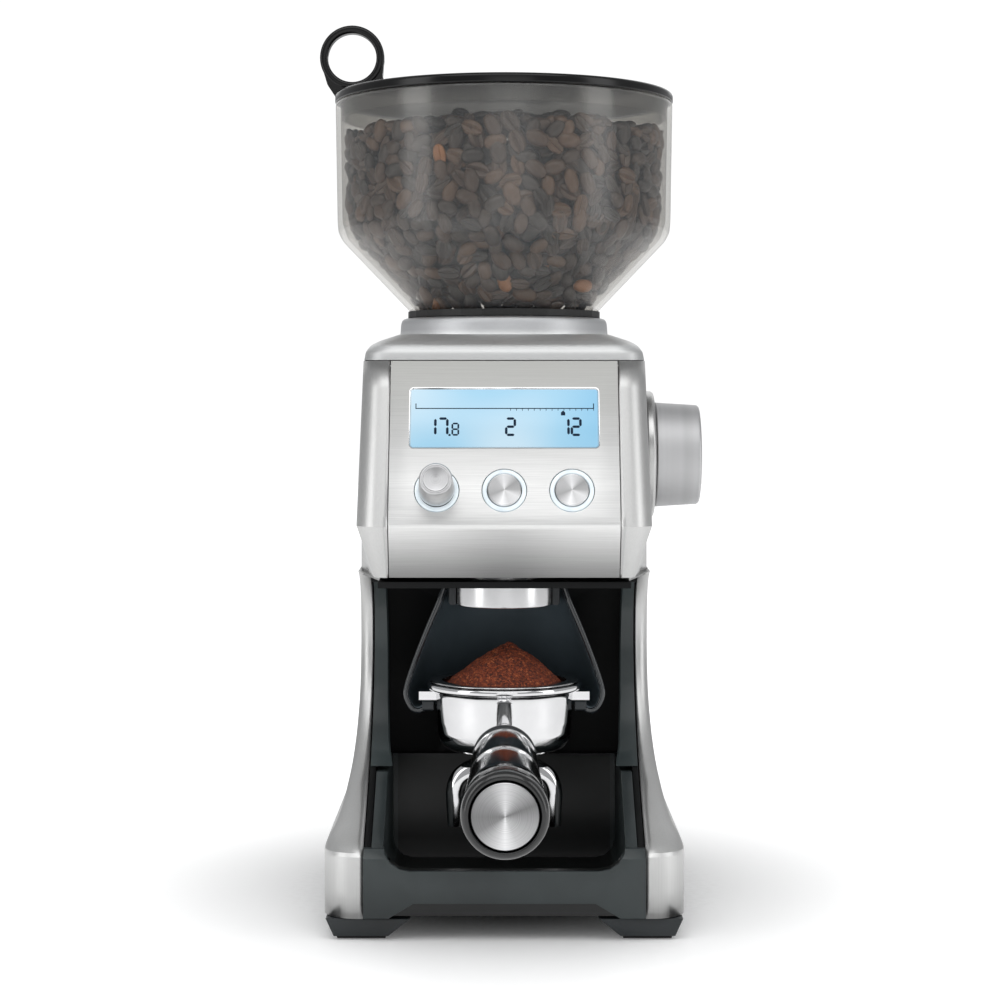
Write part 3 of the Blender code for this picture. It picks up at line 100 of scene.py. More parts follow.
def mottle(tree, shader, place, dark, light, scale, detail=2.0, low=0.3):
    """Noise of that many lumps to a metre, which turns the colour from dark to light."""
    lumps = node(tree, "TexNoise", {"Scale": scale, "Detail": detail}, {"Vector": place})
    stops = [(low, dark), (1 - low, light)]
    tone = node(tree, "ValToRGB", {"stops": stops}, {"Fac": lumps}, into=(shader, "Base Color"))
    return lumps, tone


def moulded_plastic(name, dark, light, roughness, grain=0.5 * MM, depth=0.02 * MM, **sockets):
    """Moulded plastic: grain pits, and slow changes of sheen and tone from the mould's flow."""
    material, tree, shader, place = start_material(name, light, roughness, **sockets)
    pits = node(tree, "TexNoise", {"Scale": 1 / grain, "Detail": 2.0}, {"Vector": place})
    mottle(tree, shader, place, dark, light, 28.0, 3.0, 0.35)
    span = {"To Min": roughness - 0.05, "To Max": roughness + 0.07}
    node(tree, "MapRange", span, {"Value": pits}, into=(shader, "Roughness"))
    node(tree, "Bump", {"Strength": 0.35, "Distance": depth}, {"Height": pits}, into=(shader, "Normal"))
    return material


def break_edges(made, width, smooth):
    """Bevels every edge that is sharper than that angle, as a maker breaks them."""
    edge = made.modifiers.new("edge", "BEVEL")
    edge.width, edge.segments, edge.angle_limit = width, 2, math.radians(smooth)
    edge.harden_normals = True


def dress(material, *names, bevel=0.0, smooth=35):
    """Gives CAD nodes their real material and, where wanted, broken edges and smooth curves."""
    for name in names:
        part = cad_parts[name]
        part.data.materials.clear()
        part.data.materials.append(material)
        if bevel:
            part.modifiers.new("weld", "WELD").merge_threshold = 0.005 * MM
            break_edges(part, bevel, smooth)
            for face in part.data.polygons:
                face.use_smooth = True


base_abs = moulded_plastic("charcoal_ABS_base", "#1B1F21", "#22272A", 0.42)
pad_rubber = moulded_plastic("black_rubber", "#131313", "#1D1D1D", 0.8, grain=1.2 * MM, depth=0.05 * MM)
dress(base_abs, "base_plate", bevel=0.6 * MM)
dress(pad_rubber, *[f"foot_pad_{end}_{side}" for end in ("front", "rear") for side in ("left", "right")])


# --- Cavity liner --------------------------------------------------------------------------
# The ABS frame inside the housing: two cheeks whose front edge shows beside the steel,
# a back wall and a ceiling. Its colour is darkened to near-black, darker than its grey-green
# edge bead: painted shade inside the cavity. It is screwed to the base plate from below.
# Painted shade: the liner is coloured near-black for the shade inside the cavity.
liner_abs_painted_shade = moulded_plastic(
    "ABS_liner_painted_shade", "#060708", "#0A0B0C", 0.5, depth=0.012 * MM, Specular_IOR_Level=0.18
)
dress(liner_abs_painted_shade, "inner_frame", bevel=0.5 * MM)
trim_abs = moulded_plastic("grey_green_ABS_trim", "#2B3233", "#363E3F", 0.36, depth=0.012 * MM)


# --- Motor, gearing, burrs and boards ------------------------------------------------------
# The works inside the housing: a plated motor can, a cast alloy burr housing, hardened steel
# conical burrs, acetal gears and two circuit boards. They show when hopper and lid are off.
def machined_metal(name, dark, light, roughness, grain):
    """Cast or machined metal with tool marks of that spacing."""
    material, tree, shader, place = start_material(name, light, roughness, 1.0)
    marks, _ = mottle(tree, shader, place, dark, light, 1 / grain, 4.0)
    node(tree, "Bump", {"Strength": 0.4, "Distance": 0.03 * MM}, {"Height": marks}, into=(shader, "Normal"))
    return material


cast_alloy = machined_metal("cast_aluminium", "#8C8C8B", "#A9A9A8", 0.5, 1.2 * MM)
plated_steel = machined_metal("zinc_plated_steel", "#8A8B8C", "#A5A6A8", 0.38, 3 * MM)
hardened_steel = machined_metal("hardened_burr_steel", "#77787A", "#96979A", 0.33, 0.7 * MM)
acetal = moulded_plastic("acetal", "#C9C6BB", "#D9D6CC", 0.4)
inner_abs = moulded_plastic("inner_ABS", "#1B1B1B", "#242424", 0.5)
board, tree, shader, place = start_material("solder_mask", "#0B4A22", 0.35)
tracks = node(tree, "TexVoronoi", {"Scale": 260.0, "feature": "DISTANCE_TO_EDGE"}, {"Vector": place})
track_stops = [(0.0, "#13602F"), (0.12, "#0A3F1C")]
node(tree, "ValToRGB", {"stops": track_stops}, {"Fac": tracks}, into=(shader, "Base Color"))
dress(cast_alloy, "gearbox_plate", "burr_housing")
dress(plated_steel, "motor", "motor_shaft", "dial_shaft", "knob_stem", "burr_bail")
dress(hardened_steel, "lower_burr", "upper_burr", "burr_shaft", "burr_nut")
dress(acetal, "drive_gear", "dial_pinion", "adjusting_ring")
dress(inner_abs, "burr_carrier", "impeller", "grind_chute", "portafilter_switch", "display_module")
dress(board, "control_board", "power_board")


# --- Steel side panels ---------------------------------------------------------------------
# Two deep-drawn stainless steel panels, 1.8 mm thick, that flare out over the base. Each wraps
# from the front seam round the side to the back seam, brushed along its height and coated.
def multiply_colours(tree, shader, first, second):
    """Multiplies one pattern by another for the shader's colour."""
    settings = {"data_type": "RGBA", "blend_type": "MULTIPLY", 0: 1.0}
    both = node(tree, "Mix", settings, {6: first, 7: second})
    tree.links.new(both.outputs[2], shader.inputs["Base Color"])


def brushed_steel(name, along, dark, light, roughness, line=0.35 * MM, length=28 * MM,
                  depth=0.004 * MM, tones=()):
    """Brushed metal. Real lines are 0.1 mm apart; they are drawn 0.3 to 0.8 mm apart, to show.

    tones are (height in mm, colour) pairs: painted light and shade, lighter or darker by height up the
    sheet."""
    material, tree, shader, place = start_material(name, light, roughness, 1.0)
    scale = [1 / length if axis == along else 1 / line for axis in "XYZ"]
    stretch = node(tree, "Mapping", {"Scale": scale}, {"Vector": place})
    lines = node(tree, "TexNoise", {"Scale": 1.0, "Detail": 3.0, "Roughness": 0.65}, {"Vector": stretch})
    stops = [(0.3, dark), (0.7, light)]
    streaks = node(tree, "ValToRGB", {"stops": stops}, {"Fac": lines}, into=(shader, "Base Color"))
    # Painted light and shade: the colour is made lighter or darker by height.
    if tones:
        low, high = tones[0][0] * MM, tones[-1][0] * MM
        split = node(tree, "SeparateXYZ", links={0: place})
        level = node(tree, "MapRange", {"From Min": low, "From Max": high}, {"Value": (split, "Z")})
        steps = [((z * MM - low) / (high - low), colour) for z, colour in tones]
        painted_light_by_height = node(tree, "ValToRGB", {"stops": steps}, {"Fac": level})
        multiply_colours(tree, shader, streaks, painted_light_by_height)
    span = {"From Min": 0.3, "From Max": 0.7, "To Min": roughness - 0.04, "To Max": roughness + 0.05}
    node(tree, "MapRange", span, {"Value": lines}, into=(shader, "Roughness"))
    node(tree, "Bump", {"Strength": 0.4, "Distance": depth}, {"Height": lines}, into=(shader, "Normal"))
    return material


def shape_at(place, mesh, name="tool"):
    """A mesh at its place, with no material yet: a tool for combine, or the start of a piece."""
    made = bpy.data.objects.new(name, mesh)
    bpy.context.scene.collection.objects.link(made)
    made.matrix_world = place or Matrix.Identity(4)
    return made


def sharpen(made, smooth=35, bevel=0.0):
    """Smooth curves and sharp folds, with broken edges where wanted."""
    made.data.shade_smooth()
    made.data.set_sharp_from_angle(angle=math.radians(smooth))
    if bevel:
        break_edges(made, bevel, smooth)


def add_piece(name, mesh, material, place=None, bevel=0.0, smooth=35):
    """One piece at its place, in its material."""
    made = shape_at(place, mesh, name)
    mesh.materials.append(material)
    sharpen(made, smooth, bevel)
    return made


def fit(piece, body, slot, *stands_for):
    """Fixes a piece to a body and hides the CAD nodes that it stands for. slot, its finish, is not used."""
    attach(piece, body)
    if stands_for:
        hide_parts(*stands_for)


def mesh_of(points, faces, outward=True):
    """A mesh from points and faces, with doubled points joined and faces turned outwards."""
    mesh = bpy.data.meshes.new("shape")
    mesh.from_pydata([tuple(p) for p in points], [], faces)
    bm = bmesh.new()
    bm.from_mesh(mesh)
    bmesh.ops.remove_doubles(bm, verts=bm.verts, dist=0.002 * MM)
    bmesh.ops.dissolve_degenerate(bm, edges=bm.edges, dist=0.001 * MM)
    if outward:
        bmesh.ops.recalc_face_normals(bm, faces=bm.faces)
    bm.to_mesh(mesh)
    bm.free()
    return mesh


def band(rows, size, spans, first=0):
    """The faces between rows of that many points, over the spans, counted from the first point."""
    return [
        (first + r * size + i, first + r * size + (i + 1) % size,
         first + (r + 1) * size + (i + 1) % size, first + (r + 1) * size + i)
        for r in range(rows - 1)
        for i in spans
    ]


def loft(rows, closed=False, caps=False):
    """A skin over rows of points. closed joins each row's ends, caps fills the first and last row."""
    size = len(rows[0])
    points = [p for row in rows for p in row]
    faces = band(len(rows), size, range(size if closed else size - 1))
    if caps:
        faces += [tuple(range(size)), tuple(range(len(points) - size, len(points)))]
    return mesh_of(points, faces)


def arc(centre, radius, start, end, steps):
    """Points on an arc, from one angle to another, in degrees."""
    angles = [math.radians(start + (end - start) * i / steps) for i in range(steps + 1)]
    return [(centre[0] + radius * math.cos(a), centre[1] + radius * math.sin(a)) for a in angles]


def at_height(table, height, curved=True):
    """The value of a (height, value) table. curved joins its points without kinks or overshoot."""
    heights, values = [h for h, _ in table], [v for _, v in table]
    height = min(max(height, heights[0]), heights[-1])
    i = max(k for k in range(len(heights) - 1) if heights[k] <= height)
    step = heights[i + 1] - heights[i]
    t = (height - heights[i]) / step
    if not curved:
        return values[i] + (values[i + 1] - values[i]) * t
    slopes = [(values[k + 1] - values[k]) / (heights[k + 1] - heights[k]) for k in range(len(heights) - 1)]

    def slope_at(k):
        if k in (0, len(slopes)):
            return slopes[min(k, len(slopes) - 1)]
        before, after = slopes[k - 1], slopes[k]
        return 0.0 if before * after <= 0 else 2 * before * after / (before + after)

    a, b = slope_at(i) * step, slope_at(i + 1) * step
    return (
        values[i] * (1 + 2 * t) * (1 - t) ** 2
        + values[i + 1] * t * t * (3 - 2 * t)
        + a * t * (1 - t) ** 2
        + b * t * t * (t - 1)
    )


# Sizes in mm: the sheet's gauge, the back corner's radius, how far out the head's seam and the
# cavity's edge stand, and the heights of chin, crease and deck. The tables give (height, size) pairs.
sheet, back_round = 1.8, 12
seam_x, edge_x = 48.15, 57.6
chin, crease, deck = 146.2, 167.8, 236.6
side_half_width = [(9, 74.2), (35, 74.2), (39, 73), (44, 70.2), (53, 67.3), (59, 66), (66, 64.9)]
side_half_width += [(78, 63.9), (95, 63.3), (crease, 63.2), (deck, 61.5)]
edge_front = [(9, -103), (34, -103), (37, -100), (42, -92), (48, -82), (56, -69), (66, -55), (80, -40)]
edge_front += [(95, -30), (113, -24.5), (128, -25.5), (138, -31), (143, -38), (chin, -47)]
edge_round = [(9, 15), (34, 15), (44, 10), (58, 5), (deck, 5)]
head_front = [(chin, -84), (crease, -93), (deck, -68)]
head_half_width = [(chin, 54.45), (crease, 61.5), (deck, 60)]
head_round = [(chin, 5.5), (crease, 11), (deck, 11)]
back_line = [(9, 103), (38, 103), (48, 99), (60, 96), (90, 93.5), (deck, 90)]


def side_row(z, head, steps=10):
    """One level of the right panel's outside, in mm: seam, front corner, side, back corner, seam."""
    full = at_height(side_half_width, z)
    back = at_height(back_line, z, False)
    if head:
        tables = (head_front, head_half_width, head_round)
        front, width, radius = (at_height(table, z, False) for table in tables)
        seam = seam_x
    else:
        front, width, radius = at_height(edge_front, z), full, at_height(edge_round, z, False)
        seam = edge_x
    row = [(seam, front)]
    row += arc((width - radius, front + radius), radius, -90, 0, steps)
    row += [(full, max(-18, front + radius + 0.5)), (full, 30)]
    row += arc((full - back_round, back - back_round), back_round, 0, 90, 8)
    return row + [(seam_x, back)]


def at_level(z, row, side=1):
    """Points across and along the machine, in mm from the burr axis, as places at that height."""
    return [(side * x * MM, y * MM + burr_y, z * MM) for x, y in row]


levels = [9, 20, 33] + [34 + 1.5 * i for i in range(20)]
levels += [66, 70, 75, 80, 87, 95, 104, 113, 120, 128, 133, 138, 141, 143.5, 145.9]
head_levels = [chin, 148, 151, 154, 157, 160, 163, 166, crease, 172, 180, 190, 200, 213, 225, deck]
side_rows = [(z, side_row(z, False)) for z in levels] + [(z, side_row(z, True)) for z in head_levels]
# Painted light and shade up the side panels, brightest over the flare at 44 mm.
side_painted_light = [
    (9, "#DADADA"), (30, "#F2F2F2"), (44, "#FFFFFF"), (70, "#F0F0F0"), (140, "#E2E2E2"),
    (168, "#F4F4F4"), (deck, "#E4E4E4"),
]
side_steel = brushed_steel(
    "brushed_stainless_sides_painted_light", "Z", "#D0D0CF", "#D8D8D7", 0.4, line=0.5 * MM, tones=side_painted_light
)
sides = (("left", -1), ("right", 1))
for side_name, side in sides:
    skin = loft([at_level(z, row, side) for z, row in side_rows])
    if sum(f.normal.x * side * f.area for f in skin.polygons) < 0:
        skin.flip_normals()
    side_panel = add_piece(f"side_panel_steel_{side_name}", skin, side_steel, smooth=18)
    gauge = side_panel.modifiers.new("gauge", "SOLIDIFY")
    gauge.thickness, gauge.offset, gauge.use_even_offset = sheet * MM, -1, True
    fit(side_panel, "housing", "housing_metal", f"side_panel_{side_name}")

# A grey-green bead of the liner shows as a narrow strip beside each steel edge, from the head
# down to the base. Its outer side is hidden behind the steel.
strip_inner = [(64, 47.6), (72, 49.2), (90, 50.3), (110, 50.7), (142, 51.4)]
strip_outer, strip_depth = 56.9, 1.4
for side_name, side in sides:
    strip_rows = []
    for z in range(64, 143, 3):
        front = min(at_height(edge_front, z), at_height(edge_front, z, False)) + 0.1
        inner, back = at_height(strip_inner, z, False), front + strip_depth
        corners = [(inner, front + 0.6), (inner + 0.6, front), (strip_outer, front)]
        strip_rows.append(at_level(z, corners + [(strip_outer, back), (inner, back)], side))
    skin = loft(strip_rows, closed=True, caps=True)
    fit(add_piece(f"cavity_trim_{side_name}", skin, trim_abs, smooth=30), "housing", "black_plastic")


# --- Back cover and cord gland -------------------------------------------------------------
# A plain folded steel cover closes the back between the two side panels. The mains lead's
# rubber gland is clamped in a hole low on its left.
back_steel = brushed_steel("brushed_stainless_back", "X", "#B8B8B7", "#C4C4C3", 0.34)
dress(back_steel, "back_cover", bevel=0.4 * MM, smooth=12)
dress(pad_rubber, "cord_gland", bevel=0.4 * MM)


# --- Front panel ---------------------------------------------------------------------------
# One sheet of stainless steel folded along a crease: the tilted control face above it and the
# chin below. It is brushed from side to side, with a punched window and three punched holes.
def prism(outline, low, high, plane="XY"):
    """An outline pushed from low to high, across the named plane."""
    order = {"XY": (0, 1, 2), "YZ": (2, 0, 1), "XZ": (0, 2, 1)}[plane]
    rows = [[[(a, b, h)[k] for k in order] for a, b in outline] for h in (low, high)]
    return loft(rows, closed=True, caps=True)


def soft(profile, reach, steps=4, loop=False):
    """The profile with each corner rounded, starting that far before it."""
    out = []
    for i, corner in enumerate(profile):
        if not loop and i in (0, len(profile) - 1):
            out.append(tuple(corner))
            continue
        here, after = Vector(corner), Vector(profile[(i + 1) % len(profile)])
        back, forth = Vector(profile[i - 1]) - here, after - here
        p = here + back.normalized() * min(reach, back.length * 0.45)
        q = here + forth.normalized() * min(reach, forth.length * 0.45)
        for k in range(steps + 1):
            t = k / steps
            out.append(tuple(p * (1 - t) ** 2 + here * 2 * t * (1 - t) + q * t * t))
    return out


def combine(made, operation, *tools):
    """Takes the tools' shapes out of a piece or welds them on, for good, and throws the tools away."""
    for shape in tools:
        use = made.modifiers.new("combine", "BOOLEAN")
        use.operation, use.solver, use.object = operation, "EXACT", shape
    bpy.context.view_layer.update()
    graph = bpy.context.evaluated_depsgraph_get()
    mesh = bpy.data.meshes.new_from_object(made.evaluated_get(graph))
    made.modifiers.clear()
    made.data = mesh
    for shape in tools:
        bpy.data.objects.remove(shape)


def disc(radius, low, high):
    """A round drill of that radius, in mm, along local Z."""
    return prism(arc((0, 0), radius * MM, 0, 355, 71), low * MM, high * MM)


def box_outline(half_width, low, high, radius, steps=8):
    """A rectangle with rounded corners."""
    x, outline = half_width - radius, []
    for centre, start in (((x, low + radius), -90), ((x, high - radius), 0), ((-x, high - radius), 90)):
        outline += arc(centre, radius, start, start + 90, steps)
    return outline + arc((-x, low + radius), radius, 180, 270, steps)


def revolve(profile, steps=96, sweep=360.0, start=0.0, closed=False):
    """A turned shape from (radius, height) pairs, round the local Z axis."""
    full = sweep >= 360
    count = steps if full else steps + 1
    rows = []
    for i in range(count):
        angle = math.radians(start + sweep * i / steps)
        rows.append([(r * math.cos(angle), r * math.sin(angle), z) for r, z in profile])
    if full:
        rows.append(rows[0])
    return loft(rows, closed=closed, caps=not full)


def scaled(points):
    """Pairs in mm as pairs in metres."""
    return [(a * MM, b * MM) for a, b in points]


def turned(profile, reach, steps=96, rounding=4, loop=False):
    """A turned shape from corners in mm, each rounded over that reach. loop closes the profile."""
    return revolve(soft(scaled(profile), reach * MM, rounding, loop), steps, closed=loop)


panel_tilt = math.atan2(25, 68.8)
# The tilted face's own frame, from the middle of the crease: x across, y up the face, z out of it.
on_panel = Matrix.Translation((0, burr_y - 93 * MM, crease * MM))
on_panel @= Matrix.Rotation(math.radians(90) - panel_tilt, 4, "X")
display_up, display_size = 47.65 * MM, (79 * MM, 26.5 * MM)
control_up, control_spacing, hole_radius, cut_depth = 15.8 * MM, 28 * MM, 9.4, 6
control_spots = [
    on_panel @ Matrix.Translation((place * control_spacing, control_up, 0)) for place in (-1, 0, 1)
]


def display_outline(inset, radius):
    """The display window's outline on the tilted face, moved inwards. Both are in mm."""
    w, h = (size / 2 - inset * MM for size in display_size)
    return box_outline(w, display_up - h, display_up + h, radius * MM)


fold = [(y * MM + burr_y, z * MM) for z, y in head_front[::-1]]
outside = soft(fold, 1.6 * MM)
inside = [(y + 1.5 * MM, z) for y, z in outside[::-1]]
panel_half = (seam_x - 0.3) * MM
# Painted light and shade up the front sheet: brightest at the crease, darker up the control face and down
# the chin.
panel_painted_light = [
    (chin, "#969696"), (150, "#A3A3A3"), (158, "#C9C9C9"), (167, "#F0F0F0"), (168.2, "#FFFFFF"),
    (185, "#FFFFFF"), (195, "#E8E8E8"), (205, "#CECECE"), (218, "#B9B9B8"), (deck, "#A9A9A7"),
]
panel_steel = brushed_steel(
    "brushed_stainless_front_painted_light", "X", "#E2E2E1", "#F1F1F0", 0.33, 0.3 * MM, depth=0.0025 * MM,
    tones=panel_painted_light,
)
folded = prism(outside + inside, -panel_half, panel_half, "YZ")
front_panel = add_piece("front_panel_steel", folded, panel_steel)
window = prism(display_outline(0, 1.6), -cut_depth * MM, cut_depth * MM)
holes = [shape_at(on_panel, window)]
holes += [shape_at(spot, disc(hole_radius, -cut_depth, cut_depth)) for spot in control_spots]
combine(front_panel, "DIFFERENCE", *holes)
sharpen(front_panel, 40, 0.25 * MM)
fit(front_panel, "housing", "housing_metal", "front_panel")


# --- Display -------------------------------------------------------------------------------
# A backlit liquid crystal display under a glass window, set in a thin bright bezel. The
# backlight is pale blue, with broad slanting bands of painted highlight across the glass; the
# digits and the size scale are navy.
lcd, tree, shader, place = start_material(
    "backlit_LCD", "#2F4A5A", 0.3, Coat_Weight=0.6, Coat_Roughness=0.05, Emission_Strength=0.8
)
# Painted highlight: brighter bands about 48 mm apart, slanting across the glass.
slant = {"Rotation": (0, 0, math.radians(28)), "Scale": (21, 21, 21)}
highlight_slant = node(tree, "Mapping", slant, {"Vector": place})
backlight_painted_highlight = node(tree, "TexNoise", {"Scale": 1.0, "Detail": 0.0, "noise_dimensions": "2D"}, {"Vector": highlight_slant})
backlight_highlight_stops = [(0.25, "#8CCBEE"), (0.5, "#A9DAF4"), (0.75, "#D2ECFA")]
node(tree, "ValToRGB", {"stops": backlight_highlight_stops}, {"Fac": backlight_painted_highlight}, into=(shader, "Emission Color"))
pane = prism(display_outline(0.3, 1.4), -2 * MM, -0.5 * MM)
glass = add_piece("display_glass", pane, lcd, on_panel, 0.15 * MM)
fit(glass, "housing", "display_glass", "display_window")

ink, tree, shader, place = start_material("liquid_crystal_ink", "#122235", 0.5, Specular_IOR_Level=0.1)
mottle(tree, shader, place, "#0E1C2C", "#172B40", 900.0)
digit_segments = {"1": "bc", "2": "abged", "7": "abc", "8": "abcdefg"}
strokes = []


def add_block(x0, y0, x1, y1, grow=0.0):
    """A filled rectangle, grown on every side, as an outline in mm."""
    x0, y0, x1, y1 = x0 - grow, y0 - grow, x1 + grow, y1 + grow
    strokes.append([Vector(p) for p in ((x0, y0), (x1, y0), (x1, y1), (x0, y1))])


def add_bar(x0, y0, x1, y1, width):
    """One bar of a digit, with pointed ends, as an outline in mm."""
    start, end = Vector((x0, y0)), Vector((x1, y1))
    along = (end - start).normalized()
    across = Vector((-along.y, along.x)) * width / 2
    tip = along * width / 2
    near, far = start + tip, end - tip
    strokes.append([start, near + across, far + across, end, far - across, near - across])


def add_digit(digit, x, y, height):
    """A seven-bar digit whose lower left corner is at x, y, in mm."""
    wide, bar = height * 0.5, height * 0.15
    gap = bar * 0.12
    top, middle = y + height, y + height / 2
    places = {
        "a": (x, top, x + wide, top), "g": (x, middle, x + wide, middle), "d": (x, y, x + wide, y),
        "f": (x, middle, x, top), "b": (x + wide, middle, x + wide, top),
        "e": (x, y, x, middle), "c": (x + wide, y, x + wide, middle),
    }
    for name in digit_segments[digit]:
        x0, y0, x1, y1 = places[name]
        dx, dy = (gap, 0) if y0 == y1 else (0, gap)
        add_bar(x0 + dx, y0 + dy, x1 - dx, y1 - dy, bar)


tall = 7.2
for digit, x, height in (("1", -32.4, tall), ("7", -27.4, tall), ("8", -21.7, 5.0), ("2", 0.8, tall),
                         ("1", 23.2, tall), ("2", 28.2, tall)):
    add_digit(digit, x, -7.4, height)
add_block(-23.3, -7.9, -22.4, -7.0)
# The size scale: a line with a tick up at each end, and fifteen marks below its right half.
scale_y, tick_y, line = 4.3, 6.3, 0.2
for x0, x1, y1 in ((-37, 37.4, scale_y), (-37, -37, tick_y), (37.4, 37.4, tick_y)):
    add_block(x0, scale_y, x1, y1, line)
for mark in range(15):
    x = 2.6 + 34.8 * mark / 14
    add_block(x - 0.12, scale_y - 1.0, x + 0.12, scale_y)
strokes.append([Vector(p) for p in ((23.7, 1.2), (25.5, 1.2), (25.5, 2.5), (24.6, 3.4), (23.7, 2.5))])
points, faces = [], []
for stroke in strokes:
    first, count = len(points), len(stroke)
    for height in (-0.52 * MM, -0.44 * MM):
        points += [(p.x * MM, p.y * MM + display_up, height) for p in stroke]
    faces += [tuple(range(first, first + count)), tuple(range(first + count, first + 2 * count))]
    faces += band(2, count, range(count), first)
digits = add_piece("display_digits", mesh_of(points, faces), ink, on_panel)
fit(digits, "housing", "display_glass")


def polished_metal(name, dark, light, roughness, smear):
    """Chromed or polished steel: nearly a mirror, with faint polishing haze a few mm across."""
    material, tree, shader, place = start_material(name, light, roughness, 1.0)
    haze, _ = mottle(tree, shader, place, dark, light, 1 / smear, 4.0, 0.35)
    span = {"To Min": roughness - 0.015, "To Max": roughness + 0.02}
    node(tree, "MapRange", span, {"Value": haze}, into=(shader, "Roughness"))
    return material


chrome = polished_metal("chromed_brass", "#D6D6D7", "#DDDDDE", 0.08, 12 * MM)
bezel_rows = []
for inset, up in ((-0.35, 0.02), (-0.3, 0.16), (-0.05, 0.2), (0.55, -0.42), (0.6, -0.6), (0.05, -0.9),
                  (-0.05, -0.2)):
    bezel_rows.append([(x, y, up * MM) for x, y in display_outline(inset, max(0.6, 1.6 - inset))])
bezel = add_piece("display_bezel", loft(bezel_rows + bezel_rows[:1], closed=True), chrome, on_panel)
fit(bezel, "housing", "polished_metal")


# --- Light rings, buttons and knob ---------------------------------------------------------
# Each control sits in a ring of frosted polycarbonate lit white from behind. The two buttons
# are spun aluminium discs, coloured brighter than the handle's end cap as painted light, with
# fan-shaped glints painted into their colour. The knob is turned.
frosted, tree, shader, place = start_material(
    "frosted_polycarbonate", "#C9D6DE", 0.35, Emission_Strength=0.42
)
_, led_colour = mottle(tree, shader, place, "#C2CCD2", "#D6DEE2", 140.0)
tree.links.new(led_colour.outputs[0], shader.inputs["Emission Color"])


def spun_metal(name, dark, light, roughness, groove=0.35 * MM, fan=()):
    """Spun aluminium round local Z. Real grooves are 0.1 mm apart; here they are 0.25 to 0.5 mm.

    fan gives painted glints, the fan-shaped light and shade that fine circles make of a studio's lights:
    (share of a turn, colour) pairs."""
    material, tree, shader, place = start_material(name, light, roughness, 1.0, Anisotropic=0.75)
    split = node(tree, "SeparateXYZ", links={0: place})
    x, y = (split, "X"), (split, "Y")
    square_x = node(tree, "Math", {"operation": "MULTIPLY"}, {0: x, 1: x})
    square = node(tree, "Math", {"operation": "MULTIPLY_ADD"}, {0: y, 1: y, 2: square_x})
    radius = node(tree, "Math", {"operation": "SQRT"}, {0: square})
    spacing = {"noise_dimensions": "1D", "Scale": 1 / groove, "Detail": 2.0}
    circles = node(tree, "TexNoise", spacing, {"W": radius})
    stops = [(0.3, dark), (0.7, light)]
    grooves = node(tree, "ValToRGB", {"stops": stops}, {"Fac": circles}, into=(shader, "Base Color"))
    # Painted glints: the colour turns lighter and darker round the axis.
    if fan:
        turn = node(tree, "TexGradient", {"gradient_type": "RADIAL"}, {0: place})
        painted_glint_wedges = node(tree, "ValToRGB", {"stops": fan}, {"Fac": (turn, "Fac")})
        multiply_colours(tree, shader, grooves, painted_glint_wedges)
    relief = {"Strength": 0.3, "Distance": 0.004 * MM}
    node(tree, "Bump", relief, {"Height": circles}, into=(shader, "Normal"))
    node(tree, "Tangent", {"direction_type": "RADIAL", "axis": "Z"}, into=(shader, "Tangent"))
    return material


# Painted glints for the handle's end cap: sectors of light and shade round its axis.
glints = [
    (0.0, "#8E8E8E"), (0.08, "#9A9A9A"), (0.2, "#E0E0E0"), (0.25, "#FFFFFF"), (0.32, "#D6D6D6"),
    (0.46, "#B4B4B4"), (0.56, "#8A8A8A"), (0.66, "#C4C4C4"), (0.75, "#F0F0F0"), (0.84, "#BDBDBD"),
    (0.92, "#A0A0A0"), (1.0, "#8E8E8E"),
]
spun = spun_metal("spun_aluminium_painted_glints", "#D4D4D5", "#E6E6E7", 0.3, fan=glints)
# Painted glints and painted light: the buttons' spun aluminium, coloured brighter than the end cap's.
bright_glints = [
    (0.0, "#B4B4B4"), (0.06, "#A8A8A8"), (0.16, "#DADADA"), (0.22, "#FFFFFF"), (0.3, "#DCDCDC"),
    (0.42, "#E8E8E8"), (0.5, "#B0B0B0"), (0.6, "#A4A4A4"), (0.7, "#E6E6E6"), (0.76, "#FFFFFF"),
    (0.86, "#C8C8C8"), (1.0, "#B4B4B4"),
]
spun_button_painted_light = spun_metal("spun_aluminium_painted_light", "#F0F0F1", "#FAFAFB", 0.36, 0.25 * MM, bright_glints)
light_ring = [(7.3, 0.3), (7.5, 0.45), (8.7, 0.45), (9.1, 0.1), (9.1, -1.6), (7.3, -1.6)]
button = [(0, 1.12), (3.0, 1.13), (6.2, 1.18), (6.6, 1.2), (7.0, 0.75), (7.0, -3.9), (0, -3.9)]
for name, spot in zip(("amount", "shots", "start"), control_spots):
    ring = add_piece(f"{name}_ring", turned(light_ring, 0.25, loop=True), frosted, spot)
    fit(ring, "housing", "light_ring", f"{name}_light_ring")
for name, spot in zip(("shots", "start"), control_spots[1:]):
    cap = add_piece(f"{name}_button_cap", turned(button, 0.2), spun_button_painted_light, spot)
    fit(cap, f"{name}_button", "spun_metal", f"{name}_button")

# The amount knob: a turned aluminium cap with a satin skin, a slight taper and a dished end.
satin_side = spun_metal("satin_turned_aluminium", "#B9B9BA", "#CFCFD0", 0.3)
knob_profile = [(3.3, 12.3), (3.3, 1.8), (7.5, 1.8), (7.45, 2.4), (6.85, 15.2), (6.3, 15.8), (5.5, 15.8)]
knob_profile += [(5.2, 15.3), (0, 15.3)]
knob = add_piece("amount_knob_cap", turned(knob_profile, 0.3), satin_side, control_spots[0])
fit(knob, "amount_knob", "spun_metal", "amount_knob")


# --- Top cover -----------------------------------------------------------------------------
# A die-cast deck with a domed shoulder and a round collar for the hopper's neck, blasted and
# lacquered to a soft silver that matches the panels.
deck_right = side_row(deck, True)
deck_loop = deck_right + [(-x, y) for x, y in deck_right[::-1]]
deck_middle, deck_half_depth, deck_half_width = 11, 79, at_height(side_half_width, deck)


